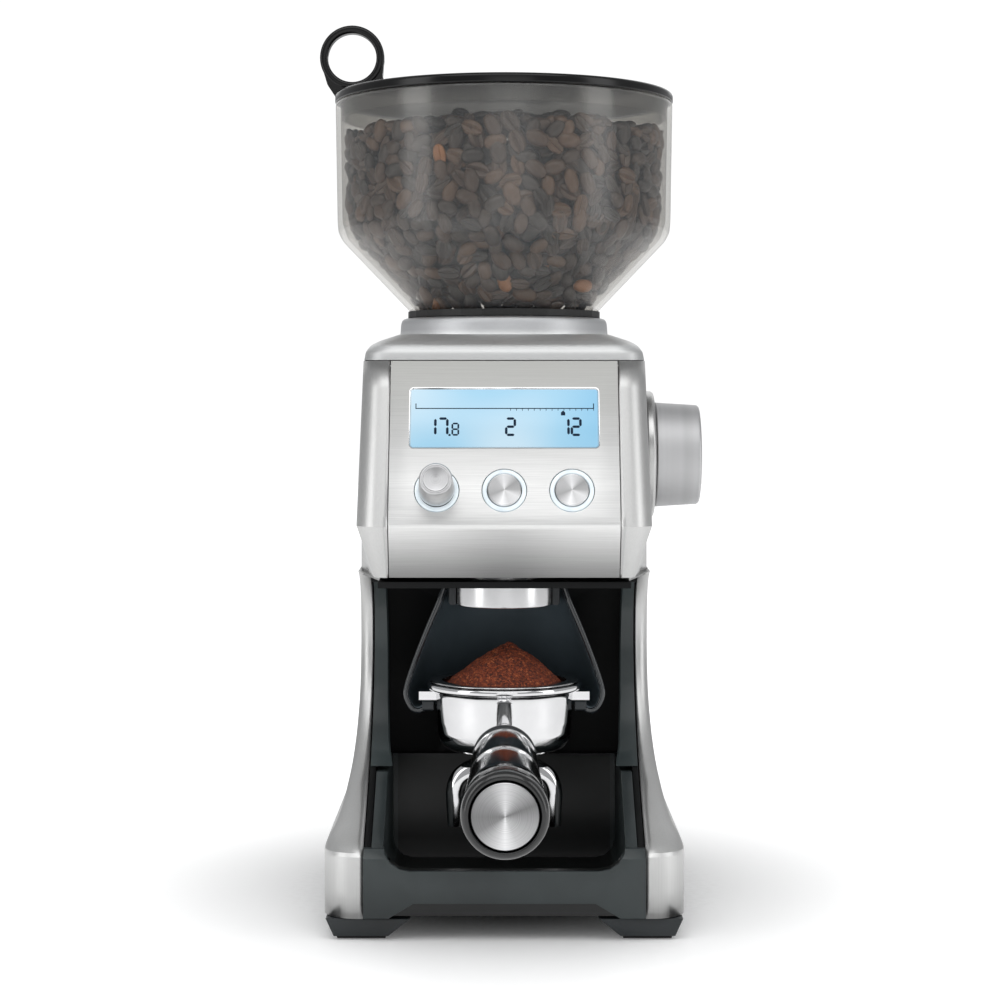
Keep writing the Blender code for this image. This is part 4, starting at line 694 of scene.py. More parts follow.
def deck_rows(section):
    """The deck's outline at each (rise above the deck, inset) of a section, in mm."""
    rows = []
    for up, inset in section:
        across, along = 1 - inset / deck_half_width, 1 - inset / deck_half_depth
        outline = [(x * across, deck_middle + (y - deck_middle) * along) for x, y in deck_loop]
        rows.append(at_level(deck + up, outline))
    return rows


# Painted light and shade up the top cover, brightest around the collar's lip from 243.5 to 248.2 mm.
cast_painted_light = [
    (206, "#D4D4D5"), (deck, "#D2D2D2"), (240.5, "#DCDCDC"), (243.5, "#FFFFFF"), (248.2, "#FFFFFF"),
    (251, "#DADADC"), (256.5, "#D4D4D6"),
]
satin_cast = brushed_steel(
    "lacquered_die_casting_painted_light", "X", "#E4E5E5", "#EBECEC", 0.5, 0.8 * MM, 3 * MM, 0.002 * MM, cast_painted_light
)
shoulder = soft([(0.3, 0.3), (3.9, 0.9), (6.7, 3), (8.6, 6.5), (10.2, 11), (11.6, 15)], 1.2, 3)
dome = loft(deck_rows(shoulder), closed=True, caps=True)
top_cover = add_piece("top_cover_casting", dome, satin_cast)
under = loft(deck_rows([(-5, 3), (3.2, 3.4), (7.6, 10)]), closed=True, caps=True)
combine(top_cover, "DIFFERENCE", shape_at(None, under))
collar = [(43, 206), (43, 244.6), (47.4, 246.9), (46.7, 249.3), (46.4, 254), (45.8, 255.8)]
collar += [(44.4, 256.5), (38, 256.5), (38, 206)]
combine(top_cover, "UNION", shape_at(at_axis, turned(collar, 1.0, rounding=3, loop=True)))
bore_radius = 40.3 * MM
bore = prism(arc((0, 0), bore_radius, 0, 356.25, 95), 200 * MM, 262 * MM)
combine(top_cover, "DIFFERENCE", shape_at(at_axis, bore))
sharpen(top_cover, 32)
fit(top_cover, "housing", "housing_metal", "top_cover")


# --- Grind size dial -----------------------------------------------------------------------
# A large turned aluminium dial on the right side, with a shallow recess in its end. It turns
# against a pressed steel escutcheon that hides its shaft hole.
dial_height = 195.4
on_dial = Matrix.Translation((0, burr_y, dial_height * MM))
on_dial @= Matrix.Rotation(math.radians(90), 4, "Y")
escutcheon = [(3.6, 63.5), (3.6, 67.2), (26.4, 67.2), (27.8, 66.9), (28.5, 66.0), (28.5, 63.5)]
plate_steel = brushed_steel("brushed_escutcheon", "Y", "#B0B0AF", "#C6C6C5", 0.3)
plate = add_piece("dial_escutcheon_plate", turned(escutcheon, 0.4, loop=True), plate_steel, on_dial)
fit(plate, "housing", "housing_metal", "dial_escutcheon")
dial_metal = spun_metal("turned_aluminium_dial", "#B4B4B5", "#BEBEBF", 0.42, groove=0.5 * MM)
dial_profile = [(3.3, 77.6), (3.3, 67.6), (23.0, 67.6), (23.5, 68.1), (23.2, 72), (22.3, 86.6)]
dial_profile += [(21.6, 87.5), (20.9, 87.5), (20.3, 86.9), (0, 86.9)]
dial = add_piece("grind_dial_knob", turned(dial_profile, 0.3), dial_metal, on_dial)
fit(dial, "grind_dial", "spun_metal", "grind_dial")


# --- Grind outlet and cradle ---------------------------------------------------------------
# The outlet is a polished steel ring in a black mount. Behind it hangs the cradle, a bell of
# black glass-filled nylon whose rolled front edge runs down into two hooks for the lugs.
outlet_forward = 50
at_outlet = Matrix.Translation((0, burr_y - outlet_forward * MM, 0))
outlet = soft([(17.5, 145.9), (17.5, 132.2), (18.0, 132), (20.2, 132), (20.7, 132.5), (20.7, 145.9)], 0.3)
steel_polish = polished_metal("polished_stainless", "#C2C2C3", "#CCCCCD", 0.2, 14 * MM)
ring = add_piece("outlet_ring_steel", revolve(scaled(outlet), closed=True), steel_polish, at_outlet)
fit(ring, "housing", "polished_metal", "outlet_ring")
nylon = moulded_plastic("black_nylon", "#181C1F", "#20262A", 0.36, depth=0.006 * MM)
mount = soft([(21.0, 132.4), (21.0, 141.3), (23.9, 141.3), (23.9, 133.0), (23.3, 132.4)], 0.4, loop=True)
# It wraps the back of the outlet, so that the polished ring shows in front.
half_ring = revolve(scaled(mount), 60, 200, -10, closed=True)
fit(add_piece("cradle_mount_ring", half_ring, nylon, at_outlet), "housing", "black_plastic", "cradle_mount")


def smooth_path(points, steps=6):
    """A path through the points without corners."""
    points = [Vector(p) for p in points]
    out = []
    for i in range(len(points) - 1):
        before, a, b = points[max(i - 1, 0)], points[i], points[i + 1]
        after = points[min(i + 2, len(points) - 1)]
        for k in range(steps):
            t = k / steps
            out.append(
                0.5 * (2 * a + (b - before) * t + (2 * before - 5 * a + 4 * b - after) * t * t
                       + (3 * a - 3 * b + after - before) * t ** 3)
            )
    return out + [points[-1]]


def tube(path, radius, sides=12):
    """A round rod along a path. radius is a number, or a function of how far along it is, 0 to 1."""
    path = [Vector(p) for p in path]
    rows = []
    lean = Vector((0, 1, 0)) if abs((path[1] - path[0]).normalized().y) < 0.9 else Vector((1, 0, 0))
    for i, here in enumerate(path):
        ahead = (path[min(i + 1, len(path) - 1)] - path[max(i - 1, 0)]).normalized()
        across = ahead.cross(lean).normalized()
        up = across.cross(ahead)
        r = radius(i / (len(path) - 1)) if callable(radius) else radius
        turns = (2 * math.pi * k / sides for k in range(sides))
        rows.append([here + (across * math.cos(a) + up * math.sin(a)) * r for a in turns])
    return loft(rows, closed=True, caps=True)


cradle_line = [(25.6, 42.0), (28.5, 34), (33.5, 22), (38.5, 9), (42, -1.5), (42.4, -6.5), (40, -11.5)]
cradle_line += [(37, -12.6), (34.2, -11.2), (33.4, -8.3)]
rim_height, bell_wall = 99.2, 1.6
cradle_path = smooth_path(scaled((r, rim_height + up) for r, up in cradle_line), 5)
cradle_path = [tuple(p) for p in cradle_path]
wall = []
for i, (r, z) in enumerate(cradle_path):
    ahead = Vector(cradle_path[min(i + 1, len(cradle_path) - 1)]) - Vector(cradle_path[max(i - 1, 0)])
    inward = Vector((ahead.y, -ahead.x)).normalized() * bell_wall * MM
    wall.append((r + inward.x, z + inward.y))
# Painted light: the bell is the same black nylon, coloured a lighter blue-grey so that its hollow shows.
bell_nylon_painted_light = moulded_plastic("black_nylon_bell_painted_light", "#3A444A", "#48535A", 0.5, depth=0.006 * MM)
bell_skin = revolve(cradle_path + wall[::-1], 64, 180, closed=True)
bell = add_piece("cradle_bell", bell_skin, bell_nylon_painted_light, at_outlet, smooth=50)
fit(bell, "cradle", "black_plastic", "cradle")
rim_nylon = moulded_plastic(
    "black_nylon_rolled_edge", "#1B1F22", "#25292C", 0.16, depth=0.003 * MM, Coat_Weight=0.5,
    Coat_Roughness=0.08,
)
# Each side has a rolled bead along the bell's front edge and a shoe that carries a lug.
bead_radius, bead_inset = 1.15 * MM, 0.4 * MM
shoe_inner, shoe_outer, shoe_foot, shoe_top = 30.2, 35.2, 86.9, 91.2
shoe = box_outline(2.5 * MM, shoe_foot * MM, shoe_top * MM, 0.8 * MM, 4)
for side_name, side in sides:
    rod = tube([(side * (r - bead_inset), 0, z) for r, z in cradle_path], bead_radius, 14)
    bead = add_piece(f"cradle_edge_{side_name}", rod, rim_nylon, at_outlet, smooth=180)
    fit(bead, "cradle", "black_plastic")
    ends = sorted((side * shoe_inner * MM, side * shoe_outer * MM))
    rows = [[(x, y, z) for y, z in shoe] for x in ends]
    shoe_block = loft(rows, closed=True, caps=True)
    shoe_piece = add_piece(f"cradle_shoe_{side_name}", shoe_block, nylon, at_outlet, 0.3 * MM)
    fit(shoe_piece, "cradle", "black_plastic")
dress(nylon, "switch_plunger", bevel=0.3 * MM)


# --- Portafilter ---------------------------------------------------------------------------
# A chromed brass bowl with two lugs, a pressed steel basket, a cast neck, a chromed ferrule and
# sleeve, and a moulded black grip with a spun end cap. A twin spout is screwed on below.
bowl_profile = [
    (0, 73), (20, 73), (25.4, 78.5), (27.8, 84.5), (28.0, 99.2), (32.6, 99.2), (33.3, 98.6),
    (33.3, 96.9), (32.4, 96.2), (30.0, 95.5), (29.4, 94), (29.2, 82.5), (28.9, 78), (27.9, 74.3),
    (26.0, 71.8), (23.5, 70.5), (0, 70.5),
]
bowl = add_piece("portafilter_bowl_chrome", turned(bowl_profile, 0.7, 128), chrome, at_outlet)
lug_root, lug_tip, lug_half, lug_foot, lug_top = 28.3, 36.5, 3.5, 91.6, 95.2
lugs = []
for _, side in sides:
    low_x, high_x = sorted((side * lug_root, side * lug_tip))
    lug = scaled([(low_x, -lug_half), (high_x, -lug_half), (high_x, lug_half), (low_x, lug_half)])
    lugs.append(shape_at(at_outlet, prism(lug, lug_foot * MM, lug_top * MM)))
combine(bowl, "UNION", *lugs)
sharpen(bowl, 40)
fit(bowl, "portafilter", "polished_metal", "portafilter_bowl")
basket_profile = [
    (0, 80.2), (24.0, 80.2), (26.4, 85.2), (26.6, 100.3), (31.3, 100.3), (31.7, 99.9), (31.7, 99.5),
    (27.4, 99.5), (27.4, 85.0), (24.6, 79.2), (0, 79.2),
]
basket_steel = polished_metal("pressed_stainless_basket", "#A9A9AA", "#BEBEBF", 0.2, 3 * MM)
basket = add_piece("filter_basket_steel", turned(basket_profile, 0.4, 128), basket_steel, at_outlet)
fit(basket, "portafilter", "basket_steel", "filter_basket")

# The handle's parts are turned about its own line, which drops a little towards the front. Each
# profile is (radius, distance from the bowl). The chromed sleeve runs on to the black end grip.
handle_drop = math.radians(1.85)
handle_forward, handle_height, handle_run = 80, 79.2, 155 - 0.9
on_handle = Matrix.Translation((0, burr_y - handle_forward * MM, handle_height * MM))
on_handle @= Matrix.Rotation(math.radians(90) + handle_drop, 4, "X")
end = handle_run / math.cos(handle_drop)
dark_neck = moulded_plastic(
    "black_painted_neck", "#26292B", "#34383A", 0.3, depth=0.01 * MM, Coat_Weight=0.3
)
grip_black = moulded_plastic(
    "black_grip_nylon", "#08090A", "#0D0E0F", 0.22, depth=0.006 * MM, Coat_Weight=0.3,
    Coat_Roughness=0.1,
)
stem_profile = [(0, -1.5), (5.2, -1.5), (5.2, 5), (5.7, 12), (6.4, 18.2), (0, 18.2)]
neck_profile = [(0, 18), (6.3, 18), (6.7, 18.6), (7.6, 24), (9.3, 34), (11.4, 43.9), (0, 43.9)]
ferrule_profile = [(0, 44.4), (11.9, 44.4), (12.4, 44.9), (13.1, 56), (13.7, 92.3), (0, 92.3)]
sleeve_profile = [(0, 92.3), (13.7, 92.3), (14.1, 105), (14.9, end - 25), (15.0, end - 16.2)]
sleeve_profile += [(0, end - 16.2)]
grip_profile = [(0, end - 16), (14.6, end - 16), (15.2, end - 15.4), (15.9, end - 4.5)]
grip_profile += [(15.6, end - 1.8), (14.1, end - 0.2), (12.8, end - 0.2), (12.5, end - 2.6)]
grip_profile += [(0, end - 2.6)]
cap_profile = [(0, end - 2.2), (12.2, end - 2.2), (12.2, end - 0.6), (11.7, end), (0, end - 0.05)]
for name, profile, reach, material, slot, stands_for in (
    ("portafilter_stem_chrome", stem_profile, 0.8, chrome, "polished_metal", ()),
    ("portafilter_neck", neck_profile, 0.6, dark_neck, "black_plastic", ()),
    ("handle_ferrule_chrome", ferrule_profile, 0.4, chrome, "polished_metal", ("handle_ferrule",)),
    ("handle_sleeve_chrome", sleeve_profile, 0.4, chrome, "polished_metal", ()),
    ("handle_grip", grip_profile, 1.1, grip_black, "black_plastic", ("handle",)),
    ("handle_end_cap", cap_profile, 0.3, spun, "spun_metal", ("handle_cap",)),
):
    piece = add_piece(name, turned(profile, reach), material, on_handle)
    fit(piece, "portafilter", slot, *stands_for)
# A black ring closes the joint between the ferrule and the neck.
joint_profile = [(11.6, 40.4), (12.2, 40.4), (12.7, 41), (12.8, 43.6), (12.3, 44.2), (11.6, 44.2)]
joint = add_piece("portafilter_joint_ring", turned(joint_profile, 0.3, loop=True), nylon, on_handle)
fit(joint, "portafilter", "black_plastic")

# The twin spout: a turned boss and two bent, tapering tubes.
bend = [(0, 62), (7, 61.5), (13, 60.5), (18.2, 57.5), (20.6, 52), (20.8, 45), (20.8, 37.2)]
pipe_radius, pipe_taper = 6.4, 2.9
spout_tubes = []
for _, side in sides:
    path = smooth_path([(side * x * MM, 0, z * MM) for x, z in bend], 6)
    pipe = tube(path, lambda t: (pipe_radius - pipe_taper * t) * MM, 24)
    spout_tubes.append(shape_at(at_outlet, pipe))
boss = turned([(0, 57), (6.5, 57), (8.5, 60), (8.5, 70.2), (0, 70.2)], 0.8)
spout = add_piece("twin_spout_chrome", boss, chrome, at_outlet)
combine(spout, "UNION", *spout_tubes)
sharpen(spout, 45)
fit(spout, "portafilter", "polished_metal", "spout")

# Ground coffee, heaped in the basket: reddish brown grounds, drawn 0.75 mm across so that they show.
grounds, tree, shader, place = start_material("ground_coffee", "#7A3D20", 0.75)
grains = node(tree, "TexVoronoi", {"Scale": 1 / (0.75 * MM)}, {"Vector": place})
grain_split = node(tree, "SeparateXYZ", links={0: (grains, "Color")})
grain_stops = [(0.0, "#3A150A"), (0.25, "#5C2410"), (0.6, "#783317"), (0.9, "#924422"), (1.0, "#AC6038")]
node(tree, "ValToRGB", {"stops": grain_stops}, {"Fac": grain_split}, into=(shader, "Base Color"))
pitting = {"Strength": 1.0, "Distance": 0.5 * MM, "invert": True}
node(tree, "Bump", pitting, {"Height": grains}, into=(shader, "Normal"))
heap_radius, heap_foot, heap_rise, peak_x = 26.0, 97.2, 19.0, 2.0
heap_rings, heap_sides = 72, 180
# The lumps' sizes in mm, each with a seed and its share of the height.
lumps = ((7, 3.1, 0.9), (1.6, 7.7, 0.42), (0.8, 1.7, 0.22))
heap_rows = []
for i in range(heap_rings + 1):
    reach = i / heap_rings
    height = heap_foot + heap_rise * (1 - reach) ** 0.95 * (1 + 0.3 * reach)
    ring = []
    for k in range(heap_sides):
        angle = 2 * math.pi * k / heap_sides
        x = heap_radius * reach * math.cos(angle) + peak_x * (1 - reach)
        y = heap_radius * reach * math.sin(angle)
        lump = 0.0
        for size, seed, share in lumps:
            lump += noise.noise(Vector((x / size, y / size, seed))) * share
        ring.append((x * MM, y * MM, (height + lump * min(1, (1 - reach) * 6 + 0.3)) * MM))
    heap_rows.append(ring)
heap_rows.append([(x * 0.99, y * 0.99, 84 * MM) for x, y, z in heap_rows[-1]])
heap = add_piece("ground_coffee_heap", loft(heap_rows, closed=True), grounds, at_outlet, smooth=180)
fit(heap, "portafilter", "inner_plastic")


# --- Grinds tray ---------------------------------------------------------------------------
# A moulded ABS bin that slides out forwards. Its front is a dark grey-green fascia with a U
# shaped mouth and a finger notch below. Inside the bin the colour turns near-black: painted shade.
tray_abs = moulded_plastic("grey_green_ABS_tray_painted_shade", "#242A2B", "#2E3536", 0.36, depth=0.015 * MM)
tray_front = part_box("grinds_tray")[0].y
tree = tray_abs.node_tree
shader = next(n for n in tree.nodes if n.type == "BSDF_PRINCIPLED")
painted = shader.inputs["Base Color"].links[0].from_node
split = node(tree, "SeparateXYZ", links={0: (node(tree, "TexCoord"), "Object")})
# Painted shade: inside the bin, behind the fascia, the colour turns near-black.
shade_start_span = {"From Min": tray_front + 1.0 * MM, "From Max": tray_front + 2.6 * MM}
behind = node(tree, "MapRange", shade_start_span, {"Value": (split, "Y")})
off_middle = node(tree, "Math", {"operation": "ABSOLUTE"}, {0: (split, "X")})
in_bin = node(tree, "Math", {"operation": "LESS_THAN", 1: 47.4 * MM}, {0: off_middle})
bin_painted_shade = node(tree, "Math", {"operation": "MULTIPLY"}, {0: behind, 1: in_bin})
tone = node(tree, "Mix", {"data_type": "RGBA", 7: linear("#0C0E0F")}, {0: bin_painted_shade, 6: painted})
tree.links.new(tone.outputs[2], shader.inputs["Base Color"])
dress(tray_abs, "grinds_tray", bevel=0.7 * MM)


# --- Hopper --------------------------------------------------------------------------------
# A bowl of clear smoked copolyester, blow-smooth inside and out, with a straight wall, a cone and
# a neck that locks into the collar. A black seal closes the joint and a slide gate the neck.
def smoked_clear(name, tint, haze, haze_share):
    """Clear tinted plastic: lets light straight through, with a mirror-like skin and a slight haze."""
    material = bpy.data.materials.new(name)
    material.use_nodes = True
    tree = material.node_tree
    tree.nodes.clear()
    place = (node(tree, "TexCoord"), "Object")
    ripple = node(tree, "TexNoise", {"Scale": 22.0, "Detail": 1.0}, {"Vector": place})
    wave = node(tree, "Bump", {"Strength": 0.1, "Distance": 0.2 * MM}, {"Height": ripple})
    tints = node(tree, "ValToRGB", {"stops": [(0.3, tint[0]), (0.7, tint[1])]}, {"Fac": ripple})
    clear = node(tree, "BsdfTransparent", links={"Color": tints})
    veil = node(tree, "BsdfDiffuse", {"Color": linear(haze)})
    body = node(tree, "MixShader", {0: haze_share}, {1: clear, 2: veil})
    skin = node(tree, "BsdfGlossy", {"Color": (1, 1, 1, 1), "Roughness": 0.2}, {"Normal": wave})
    facing = node(tree, "LayerWeight", {"Blend": 0.5})
    steep = node(tree, "Math", {"operation": "POWER", 1: 4.0}, {0: (facing, "Facing")})
    mirror = node(tree, "Math", {"operation": "MULTIPLY_ADD", 1: 0.5, 2: 0.03}, {0: steep})
    whole = node(tree, "MixShader", links={0: mirror, 1: body, 2: skin})
    node(tree, "OutputMaterial", links={"Surface": whole})
    return material


smoke = smoked_clear("smoked_copolyester", ("#E9E8E6", "#EFEEEC"), "#B4B8BC", 0.035)
shell = [
    (75.8, 353), (74.9, 299.7), (74.5, 295.2), (72.4, 291.2), (43.1, 260.6), (40.1, 257.7), (39.8, 256.7),
    (39.8, 236), (37.6, 236), (37.6, 257.7), (40.9, 261.7), (70.2, 292.3), (72.7, 299.7), (73.6, 353),
]
bowl_skin = turned(shell, 1.4, 144, 5, True)
hopper = add_piece("hopper_bowl_clear", bowl_skin, smoke, at_axis, smooth=60)
fit(hopper, "hopper", "smoked_plastic", "hopper")
seal_rubber = moulded_plastic("black_seal_rubber", "#0D0D0D", "#151515", 0.55, grain=1 * MM)
dress(seal_rubber, "hopper_seal")
dress(moulded_plastic("satin_gate_plastic", "#2A2A2A", "#363636", 0.35), "hopper_gate")
dress(nylon, "hopper_lock_knob")

# Roasted coffee beans: oily dark brown ovals about 10 mm long, with a furrow down the flat side.
roast, tree, shader, place = start_material(
    "roasted_coffee", "#3B2A20", 0.4, Coat_Weight=0.5, Coat_Roughness=0.25
)
tone = node(tree, "Attribute", {"attribute_name": "roast"})
skin = node(tree, "TexNoise", {"Scale": 1 / (1.6 * MM), "Detail": 3.0}, {"Vector": place})
mixed = node(tree, "Math", {"operation": "MULTIPLY_ADD", 1: 0.25}, {0: skin, 2: (tone, "Fac")})
roast_stops = [(0.05, "#1E150E"), (0.35, "#37291F"), (0.65, "#573F2E"), (0.9, "#7C5C40"), (1.0, "#A9703F")]
node(tree, "ValToRGB", {"stops": roast_stops}, {"Fac": mixed}, into=(shader, "Base Color"))
node(tree, "Bump", {"Strength": 0.5, "Distance": 0.15 * MM}, {"Height": skin}, into=(shader, "Normal"))

# One bean in mm: rounded back up, flat belly down with a furrow along its length.
bean_rings, bean_sides = 10, 12
half_long, half_wide, half_thick, flatness, furrow = 5.0, 3.4, 2.6, 0.55, 1.4
bean_points = []
for i in range(bean_rings):
    turn = math.pi * i / (bean_rings - 1)
    x, r = -half_long * math.cos(turn), math.sin(turn) ** 0.8
    for k in range(bean_sides):
        a = 2 * math.pi * k / bean_sides
        y, z = half_wide * r * math.cos(a), half_thick * r * math.sin(a)
        if z > 0:
            z = z * flatness - (furrow * r if abs(y) < 0.4 else 0)
        bean_points.append(Vector((x, y, z)))
bean_faces = band(bean_rings, bean_sides, range(bean_sides))
# The bowl's inner radius at each height, and how high the beans stand in it.
fill_height, fill_radius, loose_beans, loose_radius = 344, 73, 520, 68
inner_wall = [(236.0, 37.6), (257.7, 37.6), (261.7, 40.9), (292.3, 70.2), (299.7, 72.7), (353.0, 73.6)]
chance = random.Random(11)
points, faces, tones = [], [], []


def heap_top(x, y):
    """How high the beans stand at that place, in mm."""
    reach = math.hypot(x, y) / fill_radius
    return fill_height - 5 * reach ** 2 + 3.5 * noise.noise(Vector((x / 22, y / 22, 0.4)))


def add_bean(spot, out, twist, flip):
    """One bean lying against a surface whose normal is out, furrow outwards if flip is 1."""
    normal = out.normalized()
    side = normal.cross(Vector((0, 0, 1)) if abs(normal.z) < 0.9 else Vector((1, 0, 0))).normalized()
    other = normal.cross(side)
    along = side * math.cos(twist) + other * math.sin(twist)
    across = normal.cross(along) * flip
    size = chance.uniform(0.86, 1.1)
    first = len(points)
    for p in bean_points:
        q = spot + (along * p.x + across * p.y + normal * flip * p.z) * size
        points.append(q * MM)
    faces.extend(tuple(first + i for i in face) for face in bean_faces)
    tone = chance.choice((0.05, 0.2, 0.3, 0.45, 0.6, 0.95 if chance.random() < 0.1 else 0.4))
    tones.extend([tone] * len(bean_points))


# Two layers of beans lie against the wall, and a loose layer on top of a solid heart, coloured in
# the darkest roast tone as painted shade between the deeper beans.
for layer_foot, inset, spacing in ((262.0, 3.6, 7.2), (266.0, 7.0, 8.0)):
    z = layer_foot
    while z < fill_height - 1:
        radius = at_height(inner_wall, z, False)
        slope = (at_height(inner_wall, z + 1, False) - at_height(inner_wall, z - 1, False)) / 2
        out = Vector((1, 0, -slope)).normalized()
        count = int(2 * math.pi * (radius - inset) / (spacing * 1.12))
        for k in range(count):
            angle = 2 * math.pi * (k + chance.uniform(-0.3, 0.3)) / count
            lift = z + chance.uniform(-1.8, 1.8)
            r = radius - inset * math.sqrt(1 + slope * slope) - chance.uniform(0.0, 1.4)
            x, y = r * math.cos(angle), r * math.sin(angle)
            if lift > heap_top(x, y) - 2:
                continue
            tilt = Vector((out.x * math.cos(angle), out.x * math.sin(angle), out.z))
            tilt += Vector([chance.uniform(-0.28, 0.28) for _ in range(3)])
            add_bean(Vector((x, y, lift)), tilt, chance.uniform(0, math.pi), chance.choice((-1, 1)))
        z += spacing * 0.8 / math.sqrt(1 + slope * slope * 0.5)
for _ in range(loose_beans):
    angle, r = chance.uniform(0, 2 * math.pi), loose_radius * math.sqrt(chance.random())
    x, y = r * math.cos(angle), r * math.sin(angle)
    top = heap_top(x, y) - chance.uniform(0.5, 3.5)
    tilt = Vector([chance.uniform(-0.5, 0.5), chance.uniform(-0.5, 0.5), 1])
    add_bean(Vector((x, y, top)), tilt, chance.uniform(0, math.pi), chance.choice((-1, 1)))
heart_sides = 48
first = len(points)
for z, inset in ((270, 9), (275, 10), (285, 10), (292, 10), (300, 10), (315, 10), (328, 10)):
    r = at_height(inner_wall, z, False) - inset
    for k in range(heart_sides):
        a = 2 * math.pi * k / heart_sides
        points.append(Vector((r * math.cos(a), r * math.sin(a), z)) * MM)
faces += band((len(points) - first) // heart_sides, heart_sides, range(heart_sides), first)
faces += [tuple(range(first, first + heart_sides)), tuple(range(len(points) - heart_sides, len(points)))]
# Painted shade: the heart takes the darkest roast tone.
tones.extend([0.0] * (len(points) - first))
bean_mesh = bpy.data.meshes.new("beans")
bean_mesh.from_pydata([tuple(p) for p in points], [], faces)
bean_mesh.attributes.new("roast", "FLOAT", "POINT").data.foreach_set("value", tones)
beans = add_piece("coffee_beans", bean_mesh, roast, at_axis, smooth=50)
fit(beans, "hopper", "inner_plastic")


# --- Lid -----------------------------------------------------------------------------------
# A gloss black moulded lid with a finger loop on its left, and a clear skirt below it that
# presses into the hopper's mouth. Polished ABS has a hard reflection with a faint ripple.
gloss_black, tree, shader, place = start_material(
    "gloss_black_ABS", "#0C0C0D", 0.2, Specular_IOR_Level=0.3
)
ripple, _ = mottle(tree, shader, place, "#060607", "#0C0C0D", 60.0, 1.0)
node(tree, "MapRange", {"To Min": 0.16, "To Max": 0.24}, {"Value": ripple}, into=(shader, "Roughness"))
lid_profile = [(0, 353.3), (76, 353.3), (76, 356.4), (75, 357.4), (71.3, 357.4), (70.3, 355.8)]
lid_profile += [(40, 355.6), (0, 355.6)]
lid = add_piece("lid_gloss", turned(lid_profile, 0.7, 144), gloss_black, at_axis)
loop_left, loop_height = 68.4, 374.2
on_loop = at_axis @ Matrix.Translation((-loop_left * MM, 0, loop_height * MM))
on_loop @= Matrix.Rotation(math.radians(90), 4, "X")
loop_profile = [(14.5, 2.7), (13.7, 3.5), (11.7, 3.5), (10.9, 2.7)]
loop_profile += [(r, -z) for r, z in loop_profile[::-1]]
loop = shape_at(on_loop, turned(loop_profile, 0.7, 96, 3, True))
foot = [(-54.1, 374.2), (-54.6, 366), (-53.2, 358), (-52.6, 354.9), (-74.8, 354.9), (-79.5, 362)]
foot += [(-81.45, 368.4)]
foot_half, finger_radius = 3.1 * MM, 12.7
loop_foot = shape_at(at_axis, prism(scaled(foot), -foot_half, foot_half, "XZ"))
combine(loop_foot, "DIFFERENCE", shape_at(on_loop, disc(finger_radius, -8, 8)))
combine(lid, "UNION", loop, loop_foot)
sharpen(lid, 40)
fit(lid, "lid", "lid_plastic", "lid")
dress(smoked_clear("clear_skirt", ("#E4E3E1", "#EBEAE8"), "#9A9997", 0.16), "lid_plug")


# --- Studio --------------------------------------------------------------------------------
# A plain white table that runs on all round, two tall soft boxes, wide ones overhead and behind,
# and a low front fill.
paper, tree, shader, place = start_material("white_paper_sweep", "#F6F6F6", 0.6, Emission_Strength=0.5)
_, white_tone = mottle(tree, shader, place, "#F3F3F3", "#F9F9F9", 300.0)
tree.links.new(white_tone.outputs[0], shader.inputs["Emission Color"])
# The sweep's own light grows with distance from the object, and more so for the camera: painted
# light, so that it burns out to white there.
reach = 0.9
inwards = {"Location": (0, -burr_y / reach, 0), "Scale": (1 / reach, 1 / reach, 1 / reach)}
centred = node(tree, "Mapping", inwards, {"Vector": place})
nearness = (node(tree, "TexGradient", {"gradient_type": "SPHERICAL"}, {0: centred}), "Fac")
painted_light_span = {"From Min": 0.94, "From Max": 0.74, "To Max": 0.42, "interpolation_type": "SMOOTHSTEP"}
lit = node(tree, "MapRange", painted_light_span, {"Value": nearness})
camera_painted_white = node(tree, "MapRange", {"From Min": 0.9, "From Max": 0.45, "To Max": 0.5}, {"Value": nearness})
seen = (node(tree, "LightPath"), "Is Camera Ray")
for_lens = node(tree, "Math", {"operation": "MULTIPLY"}, {0: camera_painted_white, 1: seen})
node(tree, "Math", {"operation": "ADD"}, {0: lit, 1: for_lens}, into=(shader, "Emission Strength"))
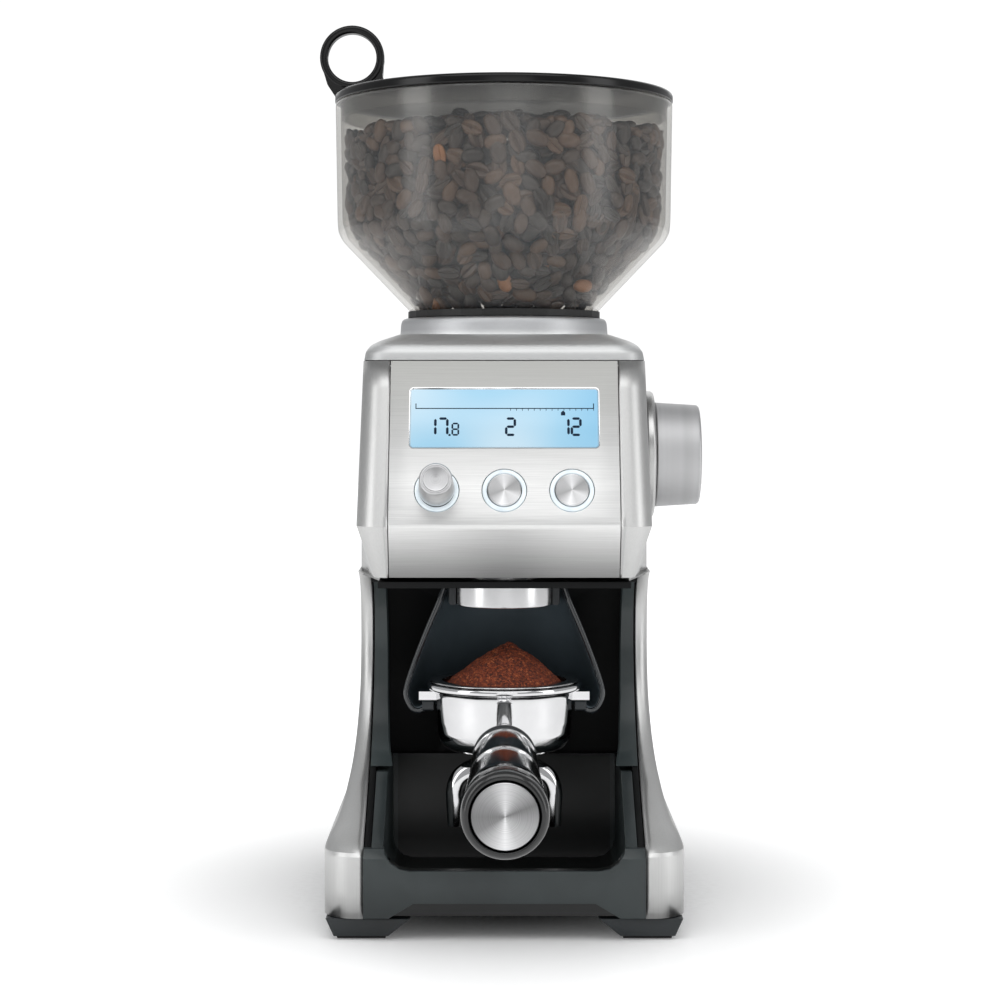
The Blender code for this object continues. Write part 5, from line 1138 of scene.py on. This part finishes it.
corner = [(x, y, 0) for x, y in ((-4, -3), (4, -3), (4, 5), (-4, 5))]
floor = add_piece("floor", mesh_of(corner, [(0, 1, 2, 3)], outward=False), paper)


def soft_box(name, spot, aim, size, watts):
    """A rectangular soft box that points at a place."""
    light = bpy.data.lights.new(name, "AREA")
    light.shape, light.size, light.size_y, light.energy = "RECTANGLE", size[0], size[1], watts
    lamp = bpy.data.objects.new(name, light)
    bpy.context.scene.collection.objects.link(lamp)
    lamp.location = spot
    lamp.rotation_euler = (Vector(aim) - Vector(spot)).to_track_quat("-Z", "Y").to_euler()
    return lamp


middle = (0, burr_y - 30 * MM, 180 * MM)
for name, spot, size, watts in (
    ("left", (-0.85, -0.45, 0.42), (0.35, 1.1), 2.6),
    ("right", (0.9, -0.35, 0.42), (0.35, 1.1), 2.4),
    ("over", (0, -0.5, 0.95), (1.1, 0.55), 3.6),
    ("front", (0.1, -1.3, 0.35), (0.7, 0.5), 1.0),
    ("back", (0, 1.2, 0.9), (1.6, 0.8), 3.0),
):
    soft_box(f"soft_box_{name}", spot, middle, size, watts)
world = bpy.data.worlds.new("studio")
bpy.context.scene.world = world
world.use_nodes = True
tree = world.node_tree
tree.nodes.clear()
seen = (node(tree, "LightPath"), "Is Camera Ray")
plain = node(tree, "Background", {"Color": (0.42, 0.425, 0.43, 1), "Strength": 1.0})
white = node(tree, "Background", {"Color": (1, 1, 1, 1), "Strength": 1.05})
shown = node(tree, "MixShader", links={0: seen, 1: plain, 2: white})
node(tree, "OutputWorld", links={"Surface": shown})

# The camera stands about a metre in front, level, with its lens lowered to keep uprights straight.
view = bpy.data.cameras.new("camera")
view.lens, view.sensor_width, view.shift_y = 82.8, 36, -0.1
view.clip_start, view.clip_end = 0.05, 50
camera = bpy.data.objects.new("camera", view)
bpy.context.scene.collection.objects.link(camera)
camera.location = (-1.8 * MM, burr_y - 1.038, 0.22)
camera.rotation_euler = (math.radians(90), 0, 0)
bpy.context.scene.camera = camera
bpy.context.scene.view_settings.view_transform = "Standard"
